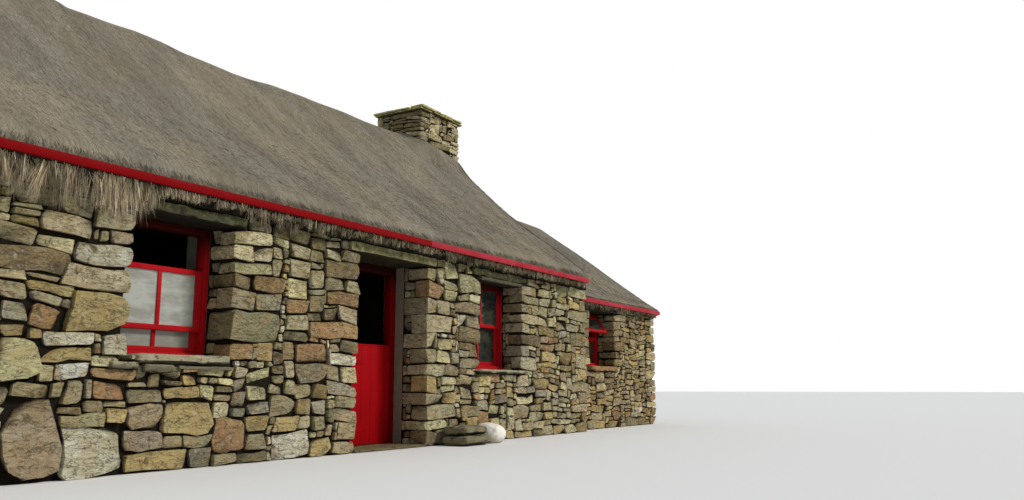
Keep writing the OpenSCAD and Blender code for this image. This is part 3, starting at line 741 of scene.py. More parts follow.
class Masonry:
    """Collects laid stones and joins them into one mesh. Its paints and their shades are
    drawn for each stone, and its tint lies over them all."""

    def __init__(
        self, name, seed, tones=TONES, shades=(0.44, 1.40), large=LARGE_STONE, tint=(1.08, 1.17, 1.22)
    ):
        self.name, self.tones, self.shades, self.large = name, tones, shades, large
        self.tint = np.array(tint)
        self.rng = np.random.default_rng(seed)
        self.parts = []
        self.count = 0

    def stone_tone(self, tone=None):
        if tone is None:
            weights = np.array(list(self.tones.values()))
            tone = self.rng.choice(list(self.tones), p=weights / weights.sum())
            shade = self.rng.uniform(*self.shades)
        else:
            shade = self.rng.uniform(0.90, 1.10)
        return np.array(paint(tone)) * self.tint * shade * self.rng.uniform(0.96, 1.04, 3)

    def lay(
        self, face, rect, reach=STONE_REACH, tone=None, proud=None, rounding=1.0, joint=None, bare=0
    ):
        """One stone in the rectangle (u0, u1, z0, z1) of a face, reaching into the wall. Its
        side at u0 (bare -1) or u1 (bare 1) may be in view too, and then takes no painted joint shade."""
        rng = self.rng
        u0, u1, z0, z1 = rect
        joint = rng.uniform(*JOINTS) if joint is None else joint
        half = np.maximum([(u1 - u0 - joint) / 2, reach / 2, (z1 - z0 - joint) / 2], 0.006)
        large = max(u1 - u0, z1 - z0) > self.large
        blanks = LARGE_BLANKS if large else PLAIN_BLANKS
        shape, faces, knee = blanks[rng.integers(len(blanks))]
        signs = rng.choice([-1, 1], 3)
        c = shape * signs
        size = np.abs(c)
        rim = np.minimum(rng.uniform(*RIMS) * rounding, 0.6 * half)
        inner = size / knee * (half - rim)
        outer = half - rim * (1 - size) / (1 - knee)
        p = np.sign(c) * np.where(size < knee, inner, outer)

        # Split corners, and a front of two slanting planes
        least = min(half[0], half[2])
        for su in (-1, 1):
            for sz in (-1, 1):
                if rng.random() < SPLIT_ODDS * rounding:
                    turn = rng.uniform(0.25, 1.25)
                    bite = rng.uniform(0.06, 0.42) * least
                    split_off(p, (su * math.cos(turn), 0, sz * math.sin(turn)), bite)
        for _ in range(2):
            slant = rng.uniform(-0.75, 0.75, 2)
            split_off(p, (slant[0], 1.0, slant[1]), rng.uniform(0.1, 0.7) * min(least, 0.045))

        # Tapered, tilted and leaning a little
        for axis, other in ((2, 0), (0, 2)):
            taper = rng.uniform(-1, 1) * min(0.2, 0.014 / half[axis]) * rounding
            p[:, axis] *= 1 + taper * c[:, other]
        tilt = np.clip(rng.normal(0, 0.05), -0.011 / half[0], 0.011 / half[0]) * rounding
        p[:, 0], p[:, 2] = p[:, 0] - tilt * p[:, 2], p[:, 2] + tilt * p[:, 0]
        lean_u, lean_z = rng.uniform(-0.06, 0.06), rng.uniform(-0.14, 0.14)
        p[:, 1] += lean_u * half[0] * c[:, 0] + lean_z * half[2] * c[:, 2]
        proud = rng.uniform(*PROUD) if proud is None else proud
        n = p[:, 1] - half[1] + proud
        co = face.world(p[:, 0] + (u0 + u1) / 2, n, p[:, 2] + (z0 + z1) / 2)
        mirrored = (signs.prod() < 0) != face.flip
        faces = (faces[:, ::-1] if mirrored else faces) + self.count
        self.count += len(co)

        # What its points carry: tone, painted shade by depth in the joint, wobble and the pattern's offset
        tone = np.tile(self.stone_tone(tone), (len(co), 1))
        # Painted shade: the deeper a point lies in the joint, the darker it is painted
        hidden = proud - n
        if bare:
            hidden = np.minimum(hidden, half[0] - bare * p[:, 0])
        joint_shade = np.clip((hidden - JOINT_SHADE_FROM) / JOINT_SHADE_OVER, 0, 1)
        wobble = np.full(len(co), (LARGE_WOBBLE if large else PLAIN_WOBBLE) * rounding)
        own = np.tile(rng.uniform(-40, 40, 3), (len(co), 1))
        self.parts.append((co, faces, tone, joint_shade, wobble, own))

    def join(self):
        """The joined mesh of all the stones, riding on the house."""
        co, faces, tone, joint_shade, wobble, own = (np.concatenate(rows) for rows in zip(*self.parts))
        co = co + noise_vectors(co, 0.075) * wobble[:, None]
        co = np.clip(co, np.array(cad_low), np.array(cad_high))
        stones = laid_copies(self.name, co, faces.tolist(), tone, joint_shade, own)
        dress(stones, self.name, RUBBLE, smooth=30)


def first_true(values):
    """The index of the first true value, or the length when there is none."""
    return int(np.argmax(values)) if values.any() else len(values)


def stone_rects(width, height, taken_rects, rng, heights, ratio=(1.2, 3.4), top=None, bottom=None):
    """Fills a face with stones of many sizes, bottom up and with broken joints, and returns
    their rectangles. taken_rects are openings, slabs and corner stones; top and bottom are
    functions of u where the face isn't a rectangle. heights may be a list of zones, each up
    to a u, with its own heights and ratio."""
    n_u, n_z = round(width / CELL), round(height / CELL)
    taken = np.zeros((n_z, n_u), bool)
    owner = np.zeros((n_z, n_u), int)
    for u0, u1, z0, z1 in taken_rects:
        a, b = max(0, round(u0 / CELL)), min(n_u, round(u1 / CELL))
        c, d = max(0, round(z0 / CELL)), min(n_z, round(z1 / CELL))
        if b > a and d > c:
            taken[c:d, a:b] = True
            owner[c:d, a:b] = -1
    middles = (np.arange(n_u) + 0.5) * CELL
    rows = (np.arange(n_z) + 0.5)[:, None] * CELL
    if top is not None:
        taken |= rows > top(middles)
    if bottom is not None:
        taken |= rows < bottom(middles)
    zones = heights if isinstance(heights, list) else [(math.inf, heights, ratio)]
    found = []
    for z in range(n_z):
        while not taken[z].all():
            u = int(np.argmin(taken[z]))
            run = first_true(taken[z, u:])
            _, sizes, ratio = next(zone for zone in zones if u * CELL < zone[0])
            odds = np.array(list(sizes.values()), float)
            h = int(rng.choice(list(sizes), p=odds / odds.sum()))

            # Level with its neighbour now and then, and no sliver left over it
            if u > 0 and rng.random() < LEVEL_ODDS:
                step = first_true(owner[z:, u - 1] != owner[z, u - 1])
                h = step if abs(step - h) <= LEVEL_GAP and step >= LEAST_H else h
            room = first_true(taken[z:, u])
            if room - h < LEAST_H:
                h = room if room <= 1.35 * h or room < 2 * LEAST_H else room - LEAST_H - 1
            h = max(1, min(h, n_z - z))
            wide = first_true(taken[z:z + h, u:u + run].any(axis=0))
            if wide < LEAST_W < run:
                h = max(1, first_true(taken[z:, u:u + LEAST_W].any(axis=1)))
                wide = first_true(taken[z:z + h, u:u + run].any(axis=0))

            # As wide as the room allows, with no upright joint over another
            w = int(np.clip(round(h * rng.uniform(*ratio)), LEAST_W, MOST_W))
            if wide - w < LEAST_W:
                w = wide if wide <= 1.5 * w or wide < 2 * LEAST_W else wide // 2
            elif z > 0 and u + w < n_u and owner[z - 1, u + w - 1] != owner[z - 1, u + w]:
                wider = wide - w - BOND_SHIFT >= LEAST_W
                w = w + BOND_SHIFT if wider else max(LEAST_W, w - BOND_SHIFT)
            w = max(1, min(w, wide))
            if LEAST_W <= w < 0.65 * h and h > 2 * LEAST_H:
                h = max(LEAST_H, int(w * rng.uniform(0.7, 1.3)))
            taken[z:z + h, u:u + w] = True
            owner[z:z + h, u:u + w] = 1 + z * n_u + u
            if min(w, h) > 2:
                found.append((u * CELL, (u + w) * CELL, z * CELL, (z + h) * CELL))
    return found


class Corner:
    """Corner stones shared by two faces, long and short by turns on each. Those laid one by one
    are given as their levels, span and tone."""

    def __init__(self, z0, z1, rng, spans=(0.46, 0.24), depths=(0.24, 0.46), courses=(0.11, 0.22), shown=()):
        self.steps = []
        self.tones = []
        level = z0
        while level < z1 - CELL / 2:
            turn = len(self.steps) % 2
            depth = snap(min(depths[turn] * rng.uniform(0.85, 1.2), max(depths)))
            placed = [stone for stone in shown if abs(stone[0] - level) < CELL / 2]
            if placed:
                _, head, span, tone = placed[0]
                rise = head - level
            else:
                rise, tone = snap(rng.uniform(*courses)), None
                span = snap(spans[turn] * rng.uniform(0.75, 1.25))
                above = min([stone[0] for stone in shown if stone[0] > level] + [z1])
                if above - level - rise < 0.6 * courses[0]:
                    rise = above - level
            self.steps.append((level, level + rise, span, depth))
            self.tones.append(tone)
            level = round(level + rise, 4)

    def spans(self, start=0.0, sign=1):
        """The rectangles that it takes on its first face."""
        return [(*sorted((start, start + sign * span)), z0, z1) for z0, z1, span, _ in self.steps]

    def depths(self, start=0.0, sign=1, foot=0.0):
        """The rectangles that it takes on its second face."""
        return [
            (*sorted((start, start + sign * depth)), z0 - foot, z1 - foot)
            for z0, z1, _, depth in self.steps
        ]

    def lay(self, masonry, face, start, sign):
        """Lays its stones and returns the rectangles that they take on the face."""
        spans = self.spans(start, sign)
        for rect, step, tone in zip(spans, self.steps, self.tones):
            proud = masonry.rng.uniform(-0.012, 0.010)
            masonry.lay(face, rect, step[3] - 0.008, tone, proud, rounding=0.8, bare=-sign)
        return spans


class Opening:
    """A doorway or window in a face: its span, its levels, its slabs and its stone reveals."""

    def __init__(
        self, span, z0, z1, depth, bearing=WINDOW_BEARING, lintel_t=LINTEL_T, sill_t=SILL_T,
        shown=((), ()),
    ):
        self.u0, self.u1 = (snap(u) for u in sorted(span))
        self.z0, self.z1, self.depth = snap(z0), snap(z1), depth
        self.kept = [
            (self.u0, self.u1, self.z0, self.z1),
            (self.u0 - bearing, self.u1 + bearing, self.z1, self.z1 + lintel_t),
        ]
        self.sill_t, self.shown = sill_t, shown
        if sill_t:
            self.kept.append((self.u0 - SILL_BEARING, self.u1 + SILL_BEARING, self.z0 - sill_t, self.z0))

    def lay_jambs(self, masonry, face):
        """Lays both jambs and their reveals, and returns what they take on the face."""
        taken = []
        full, rise = snap(self.depth), self.z1 - self.z0
        for start, sign, shown in ((self.u0, -1, self.shown[0]), (self.u1, 1, self.shown[1])):
            jamb = Corner(
                self.z0, self.z1, masonry.rng, (0.44, 0.24), (snap(0.62 * full), full), (0.10, 0.19), shown
            )
            taken += jamb.lay(masonry, face, start, sign)
            foot = face.flat([start], np.zeros(1), [self.z0])[0]
            straight = [(-1.0, 2.0, -1.0, 5.0)]
            reveal = Face(foot, -face.outward, -sign * face.along, self.depth, rise, straight)
            for rect in stone_rects(
                self.depth, rise, jamb.depths(foot=self.z0), masonry.rng, MIXED, (0.8, 1.6)
            ):
                masonry.lay(reveal, rect, REVEAL_REACH, proud=masonry.rng.uniform(-0.012, 0.004))
        return taken


def lay_face(masonry, face, taken, heights, openings=(), top=None, bottom=None, ratio=(1.2, 3.4)):
    """Lays a whole face round its openings and corner stones."""
    blocked = list(taken)
    for opening in openings:
        blocked += opening.kept + opening.lay_jambs(masonry, face)
    for rect in stone_rects(face.width, face.height, blocked, masonry.rng, heights, ratio, top, bottom):
        masonry.lay(face, rect)


# Walls

ALONG_X, BACK_X = (1, 0, 0), (-1, 0, 0)
ALONG_Y, BACK_Y = (0, 1, 0), (0, -1, 0)
HIDDEN_RISE = 0.10
END_SET_BACK = 0.012
MAIN_L = FAR_X - NEAR_X
LOW_L = LOW_END_X - FAR_X
MAIN_W, LOW_W = 2 * MAIN_HALF, 2 * LOW_HALF
MAIN_SLOPE = (MAIN_APEX_Z - MAIN_BOARD_TOP) / (MAIN_HALF + EAVES_OUT)
LOW_SLOPE = (LOW_APEX_Z - LOW_BOARD_TOP) / (LOW_HALF + LOW_EAVES_OUT)
STRIP = snap(LOW_FRONT_Y - MAIN_FRONT_Y)

# Stones laid one by one on the front wall: tone, x from and to, z from and to, rounding
SHOWN_STONES = (
    ("cream", -5.62, -5.30, 0.68, 0.97, 1.6), ("rose", -5.52, -5.10, 0.00, 0.57, 1.8),
    ("pale", -5.09, -4.58, 0.00, 0.35, 2.6), ("ochre", -4.27, -3.77, 0.27, 0.54, 1.1),
    ("rust", -3.77, -3.42, 0.10, 0.40, 1.25), ("rose", -4.58, -4.27, 0.32, 0.53, 1.6),
    ("quartz", -5.12, -4.89, 0.70, 0.82, 1.0), ("pale", -3.10, -2.65, 0.00, 0.24, 1.4),
    ("umber", -5.70, -5.12, 1.44, 1.62, 1.3), ("buff", -5.60, -5.26, 1.92, 2.07, 1.0),
    ("ochre", -5.42, -5.06, 1.30, 1.39, 1.0), ("rust", -5.42, -5.10, 1.06, 1.22, 1.25),
    ("sand", -5.40, -4.98, 1.76, 1.91, 1.0), ("rust", -4.88, -4.52, 0.70, 0.80, 1.0),
    ("rust", -4.88, -4.60, 0.55, 0.69, 1.2), ("ochre", -4.30, -3.96, 0.56, 0.66, 1.0),
)

# Sizes of the front wall's other stones, up to each place along it
FRONT_ZONES = [
    (2.0, COARSE, (1.6, 3.6)), (3.1, MIXED, (1.4, 3.6)), (6.6, COARSE, (1.3, 3.2)), (7.7, MIXED, (1.2, 2.8)),
    (math.inf, FINE, (1.4, 3.4)),
]

# Jamb stones laid one by one: z from and to, span along the face, tone
NEAR_JAMB = (
    (0.89, 1.06, 0.19, "pale"), (1.06, 1.38, 0.48, "ochre"), (1.38, 1.56, 0.56, "sand"),
    (1.56, 1.74, 0.50, "pale"), (1.74, 1.85, 0.22, "rose"), (1.85, 2.05, 0.36, "sand"),
)
SECOND_JAMB = (
    (0.89, 1.05, 0.28, "rust"), (1.05, 1.34, 0.58, "olive"), (1.34, 1.52, 0.30, "buff"),
)
DOOR_NEAR_JAMB = ((0.30, 0.43, 0.34, "buff"), (1.12, 1.29, 0.70, "rust"), (1.29, 1.46, 0.30, "buff"))
DOOR_FAR_JAMB = (
    (0.00, 0.17, 0.20, "umber"), (0.17, 0.29, 0.42, "cream"), (0.29, 0.47, 0.58, "buff"),
    (0.47, 0.60, 0.30, "buff"), (0.60, 0.79, 0.22, "ochre"), (0.79, 0.93, 0.36, "sand"),
    (0.93, 1.10, 0.22, "buff"), (1.10, 1.28, 0.18, "sand"), (1.28, 1.50, 0.52, "sand"),
    (1.50, 1.69, 0.18, "buff"), (1.69, 1.88, 0.33, "rust"), (1.88, 2.05, 0.18, "sand"),
)

# The low front wall's paints
GOLDEN = {
    "sand": 3, "ochre": 3, "buff": 2.5, "cream": 1, "rust": 1, "umber": 0.8, "pale": 0.5, "grey": 0.4,
}


def window_in(node, face_y, along, sill_t=SILL_T, shown=((), ())):
    """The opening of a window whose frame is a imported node."""
    low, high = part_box(node)
    lintel_t = MAIN_HEAD_Z - high.z if face_y == MAIN_FRONT_Y else LINTEL_T
    return Opening(
        (along(low.x), along(high.x)), low.z, high.z, low.y - face_y, lintel_t=lintel_t, sill_t=sill_t,
        shown=shown,
    )


def gable_top(half, head_z, under_z, slope):
    """The top of a gable's masonry along its face, run on a little into the thatch."""
    return lambda u: np.maximum(head_z, under_z - slope * np.abs(u - half) + HIDDEN_RISE)


def kept_of(openings):
    return [rect for opening in openings for rect in opening.kept]


near_window = window_in(
    "near_window_frame", MAIN_FRONT_Y, lambda x: x - NEAR_X, shown=(NEAR_JAMB, SECOND_JAMB)
)
far_window = window_in("far_window_frame", MAIN_FRONT_Y, lambda x: x - NEAR_X)
low_window = window_in("low_window_frame", LOW_FRONT_Y, lambda x: x - FAR_X, LOW_SILL_T)
back_windows = [
    window_in(node, MAIN_FRONT_Y, lambda x: FAR_X - x) for node in ("near_window_frame", "far_window_frame")
]
doorway = Opening(
    (DOOR_LOW.x - NEAR_X, DOOR_HIGH.x - NEAR_X), 0, DOOR_TOP, FRAME_LOW.y - MAIN_FRONT_Y - PLASTER_STRIP,
    DOOR_BEARING, MAIN_HEAD_Z - DOOR_TOP, sill_t=0.0, shown=(DOOR_NEAR_JAMB, DOOR_FAR_JAMB),
)
front_openings = [near_window, far_window, doorway]

near_end_x, low_end_x = NEAR_X + END_SET_BACK, LOW_END_X - END_SET_BACK
main_front = Face(
    (NEAR_X, MAIN_FRONT_Y, 0), ALONG_X, BACK_Y, MAIN_L, MAIN_HEAD_Z, kept_of(front_openings)
)
main_back = Face((FAR_X, MAIN_BACK_Y, 0), BACK_X, ALONG_Y, MAIN_L, MAIN_HEAD_Z, kept_of(back_windows))
near_end = Face((near_end_x, MAIN_BACK_Y, 0), BACK_Y, BACK_X, MAIN_W, MAIN_UNDER_Z)
far_end = Face((FAR_X, MAIN_FRONT_Y, 0), ALONG_Y, ALONG_X, MAIN_W, MAIN_UNDER_Z)
low_front = Face((FAR_X, LOW_FRONT_Y, 0), ALONG_X, BACK_Y, LOW_L, LOW_HEAD_Z, low_window.kept)
low_back = Face((LOW_END_X, LOW_BACK_Y, 0), BACK_X, ALONG_Y, LOW_L, LOW_HEAD_Z)
low_end = Face((low_end_x, LOW_FRONT_Y, 0), ALONG_Y, ALONG_X, LOW_W, LOW_UNDER_Z)


def lay_main_walls():
    """Lays the main block's facing, its corner stones on the long walls that start them."""
    front = Masonry("front_wall_stones", 101)
    back = Masonry("back_wall_stones", 202, large=PLAIN_WALL)
    near = Masonry("near_gable_stones", 303, large=PLAIN_WALL)
    far = Masonry("far_gable_stones", 404, large=PLAIN_WALL)
    strip_depths = (STRIP, 0.13)
    near_front = Corner(0, MAIN_HEAD_Z, front.rng)
    far_front = Corner(0, MAIN_HEAD_Z, front.rng, depths=strip_depths)
    far_back = Corner(0, MAIN_HEAD_Z, back.rng, depths=strip_depths)
    near_back = Corner(0, MAIN_HEAD_Z, back.rng)
    length, width = snap(MAIN_L), snap(MAIN_W)

    taken = near_front.lay(front, main_front, 0, 1) + far_front.lay(front, main_front, length, -1)
    for tone, x0, x1, z0, z1, rounding in SHOWN_STONES:
        rect = (snap(x0 - NEAR_X), snap(x1 - NEAR_X), z0, z1)
        front.lay(main_front, rect, tone=tone, joint=0.014, rounding=rounding)
        taken.append(rect)
    lay_face(front, main_front, taken, FRONT_ZONES, front_openings)

    taken = far_back.lay(back, main_back, 0, 1) + near_back.lay(back, main_back, length, -1)
    lay_face(back, main_back, taken, COARSE, back_windows, ratio=(1.5, 3.4))
    top = gable_top(MAIN_HALF, MAIN_HEAD_Z, MAIN_UNDER_Z, MAIN_SLOPE)
    lay_face(near, near_end, near_back.depths() + near_front.depths(width, -1), COARSE, top=top)
    lay_face(
        far, far_end, far_front.depths() + far_back.depths(width, -1), COARSE, top=top,
        bottom=lambda u: np.where((u < STRIP) | (u > width - STRIP), 0, LOW_HEAD_Z), ratio=(1.1, 2.6),
    )
    for masonry in (front, back, near, far):
        masonry.join()


def lay_low_walls():
    """Lays the low block's facing, of smaller stones in front and at its corners."""
    front = Masonry("low_front_stones", 505, GOLDEN, tint=(0.94, 0.94, 0.9))
    back = Masonry("low_back_stones", 606, large=PLAIN_WALL)
    end = Masonry("low_end_gable_stones", 707, large=PLAIN_WALL)
    sizes = {"spans": (0.38, 0.20), "depths": (0.20, 0.36), "courses": (0.08, 0.18)}
    front_end = Corner(0, LOW_HEAD_Z, front.rng, **sizes)
    back_end = Corner(0, LOW_HEAD_Z, back.rng, **sizes)
    length, width = snap(LOW_L), snap(LOW_W)
    taken = front_end.lay(front, low_front, length, -1)
    lay_face(front, low_front, taken, SMALL, [low_window], ratio=(1.9, 4.2))
    lay_face(back, low_back, back_end.lay(back, low_back, 0, 1), COARSE)
    top = gable_top(LOW_HALF, LOW_HEAD_Z, LOW_UNDER_Z, LOW_SLOPE)
    lay_face(end, low_end, front_end.depths() + back_end.depths(width, -1), COARSE, top=top)
    for masonry in (front, back, end):
        masonry.join()


def wall_core(node, slabs, material=LIMEWASH, plastered=()):
    """A wall's body behind its facing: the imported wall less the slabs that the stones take."""
    core = free_copy(node)
    for low, high in slabs:
        cut(core, low, high)
    middles = np.array([face.center for face in core.data.polygons])
    kinds = np.zeros(len(middles), int)
    for kind, regions in ((1, slabs), (2, plastered)):
        for low, high in regions:
            inside = (middles > np.array(low) - 0.002) & (middles < np.array(high) + 0.002)
            kinds[inside.all(axis=1)] = kind
    finishes = [material, HEARTING, PLASTER]
    pick_finishes(dress(core, node + "_core", finishes, smooth=0, node=node), kinds)


def beside(face, openings):
    """The slabs that the stone reveals of openings take out of their jambs."""
    slabs = []
    for o in openings:
        slabs.append(face.slab(o.u0 - REBATE, o.u0 + 0.01, o.z0, o.z1, o.depth))
        slabs.append(face.slab(o.u1 - 0.01, o.u1 + REBATE, o.z0, o.z1, o.depth))
    return slabs


def build_cores():
    """The walls' bodies, rebated for the stones of every face that shows."""
    past = 0.02
    head, low_head = MAIN_HEAD_Z + past, LOW_HEAD_Z + past
    near_slab = near_end.slab(-past, MAIN_W + past, -past, MAIN_UNDER_Z + past)
    end_slab = low_end.slab(-past, LOW_W + past, -past, LOW_UNDER_Z + past)
    front_slab = main_front.slab(-past, MAIN_L + past, -past, head)
    front_strip = far_end.slab(-past, STRIP, -past, head)
    back_strip = far_end.slab(MAIN_W - STRIP, MAIN_W + past, -past, head)
    beside_frame = (
        (DOOR_LOW.x - 0.01, FRAME_LOW.y - PLASTER_STRIP, 0),
        (DOOR_HIGH.x + 0.01, FRAME_HIGH.y + 0.6, DOOR_TOP),
    )
    for node, slabs in (
        ("front_wall_near", [front_slab, near_slab, *beside(main_front, [near_window, doorway])]),
        ("front_wall_far", [front_slab, front_strip, *beside(main_front, [far_window, doorway])]),
        ("back_wall", [
            main_back.slab(-past, MAIN_L + past, -past, head), near_slab, back_strip,
            *beside(main_back, back_windows),
        ]),
        ("near_gable", [near_slab]),
        ("main_gable", [far_end.slab(0, MAIN_W, LOW_HEAD_Z, MAIN_UNDER_Z + past)]),
        ("low_front_wall", [
            low_front.slab(0, LOW_L + past, -past, low_head), end_slab, *beside(low_front, [low_window])
        ]),
        ("low_back_wall", [low_back.slab(-past, LOW_L, -past, low_head), end_slab]),
        ("low_end_gable", [end_slab]),
    ):
        wall_core(node, slabs, plastered=[beside_frame] if node.startswith("front") else ())


# Slabs

SLAB_CELL = 0.035
WALL_T = 0.65
SILL_DEPTH = 0.29
NEAR_SILL_RISE = 0.032
FAR_LINTEL_HANG = 0.055


def divided_box(low, high, cell):
    """A block whose faces are divided into cells of about the given size."""
    obj = box(low, high)
    size = Vector(high) - Vector(low)
    for axis in range(3):
        cuts = round(size[axis] / cell) - 1
        if cuts < 1:
            continue
        pick(obj)
        bpy.ops.object.mode_set(mode="EDIT")
        bpy.ops.mesh.select_mode(type="EDGE")
        bpy.ops.mesh.select_all(action="DESELECT")
        bpy.ops.object.mode_set(mode="OBJECT")
        co = points_of(obj)
        for edge in obj.data.edges:
            step = np.abs(co[edge.vertices[0]] - co[edge.vertices[1]])
            edge.select = bool(step[axis] > 1e-6)
        bpy.ops.object.mode_set(mode="EDIT")
        bpy.ops.mesh.subdivide(number_cuts=cuts)
        bpy.ops.object.mode_set(mode="OBJECT")
    return obj


def split_slab(low, high, worn=0.015, ragged=0.012, shift=0.0, plan=1.0):
    """A rough slab between two corners: worn edges, wavy faces and a ragged outline. plan is
    how much rounder it is from above than from the side."""
    obj = divided_box(low, high, SLAB_CELL)
    low, high = np.array(low, float), np.array(high, float)
    co = points_of(obj)
    edge = worn * (1 + 0.6 * smooth_noise(co, 0.12, shift))
    edge = np.minimum(edge[:, None] * (plan, plan, 1.0), 0.47 * (high - low))
    inner = np.clip(co, low + edge, high - edge)
    away = co - inner
    co = inner + away / np.maximum(np.linalg.norm(away / edge, axis=1, keepdims=True), 1.0)
    out = away / np.linalg.norm(away, axis=1, keepdims=True)
    dent = 0.7 * smooth_noise(co, 0.17, shift + 4.0) + 0.3 * smooth_noise(co, 0.05, shift + 9.0)
    dent = ragged * (0.5 + 0.5 * dent) * (0.4 + 1.2 * np.hypot(out[:, 0], out[:, 1]))
    dent = np.minimum(dent, 0.3 * (high - low).min())
    set_points(obj, co - out * dent[:, None])
    return obj


def window_slabs():
    """Lintel and sill slabs of every window. The near window's sill lies on smaller slabs, and
    the far window's lintel has a thin one under it."""
    lintels, sills, reddish = [], [], []
    windows = [(main_front, near_window), (main_front, far_window), (low_front, low_window)]
    windows += [(main_back, window) for window in back_windows]
    for i, (face, o) in enumerate(windows):
        top = o.z1 + LINTEL_T if face is low_front else MAIN_HEAD_Z
        over = (o.u0 - WINDOW_BEARING, o.u1 + WINDOW_BEARING), (0.03, -WALL_T), (o.z1, top)
        lintels.append(split_slab(
            *face.block(*over), worn=0.026, ragged=0.034, shift=3.0 * i, plan=1.8
        ))
        span, levels = (o.u0 - SILL_BEARING, o.u1 + SILL_BEARING), (o.z0 - o.sill_t, o.z0)
        if o is near_window:
            span, levels = (o.u0 + 0.06, o.u1 - 0.004), (o.z0 - 0.058, o.z0 + NEAR_SILL_RISE)
        (reddish if face is low_front else sills).append(split_slab(
            *face.block(span, (SILL_OUT, -SILL_DEPTH), levels), worn=0.028, ragged=0.026,
            shift=3.0 * i + 1, plan=1.8,
        ))
    o = near_window
    for u0, u1, z0, z1 in (
        (o.u0 - 0.16, o.u0 + 0.12, o.z0 - 0.11, o.z0 - 0.030),
        (o.u0 + 0.12, o.u0 + 0.44, o.z0 - 0.125, o.z0 - 0.050),
        (o.u0 + 0.004, o.u0 + 0.08, o.z0 - 0.030, o.z0 + 0.02),
        (o.u0 + 0.44, o.u1 + 0.05, o.z0 - 0.100, o.z0 - 0.056),
    ):
        under = main_front.block((u0, u1), (0.045, -SILL_DEPTH), (z0, z1))
        sills.append(split_slab(*under, ragged=0.038, shift=5 * u0, plan=2.2))
    o = far_window
    under = (o.u0 + 0.004, o.u1 - 0.004), (0.035, -0.24), (o.z1 - FAR_LINTEL_HANG, o.z1 + 0.01)
    lintels.append(split_slab(*main_front.block(*under), ragged=0.03, shift=71.0, plan=1.6))
    dress(join(lintels), "mossy_window_lintels", SLAB, node="window_lintels")
    dress(join(sills), "worn_window_sills", SILL_SLAB, node="window_sills")
    dress(join(reddish), "reddish_low_sill", LOW_SILL_SLAB, node="window_sills")


def door_slabs():
    """The doorway's lintel, a little proud of the wall, and its threshold."""
    low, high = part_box("door_lintel")
    slab = split_slab(low - Vector((0, 0.02, 0)), high, ragged=0.016, shift=31.0)
    dress(slab, "mossy_door_lintel", DOOR_SLAB, node="door_lintel")
    slab = split_slab(*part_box("threshold"), worn=0.008, ragged=0.006, shift=33.0)
    dress(slab, "worn_threshold", THRESHOLD_SLAB, node="threshold")


def build_seat():
    """Two worn slabs and a round pale boulder beside the doorway."""
    for i, node in enumerate(("seat_lower_slab", "seat_upper_slab")):
        low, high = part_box(node)
        low, high = low + Vector((0, 0, 0.01 * i)), high + Vector((0, 0, 0.015 + 0.020 * i))
        slab = split_slab(low, high, worn=0.036, ragged=0.030, shift=40.0 + 5 * i, plan=2.4)
        dress(slab, node + "_worn", SEAT_SLAB, node=node)
    low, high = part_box("seat_boulder")
    middle, size = (low + high) / 2, high - low
    deselect()
    bpy.ops.mesh.primitive_ico_sphere_add(subdivisions=4, radius=1)
    boulder = bpy.context.object
    co = points_of(boulder)
    co *= 1 + 0.10 * smooth_noise(co, 0.9, 2.0)[:, None] + 0.03 * smooth_noise(co, 0.35, 7.0)[:, None]
    co[:, 2] = np.maximum(co[:, 2], -0.72)
    co = (co - co.min(axis=0)) / (co.max(axis=0) - co.min(axis=0)) - 0.5
    set_points(boulder, co * np.array(size) * 0.995 + np.array(middle))
    dress(boulder, "round_boulder", PALE_BOULDER, smooth=60, node="seat_boulder")


# Chimney

STACK_FOOT_Z = 4.05
STACK_REBATE = 0.03
STACK_REACH = 0.07

# Stones laid one by one on the stack's front: tone, u from and to, z from and to over its foot
STACK_STONES = (
    ("cream", 0.27, 0.54, 0.79, 0.95), ("cream", 0.27, 0.62, 0.67, 0.79), ("olive", 0.27, 0.80, 0.56, 0.65),
    ("sand", 0.58, 0.74, 0.86, 1.02),
)
STACK_GAP = (0.34, 0.74, 0.60, 0.70)


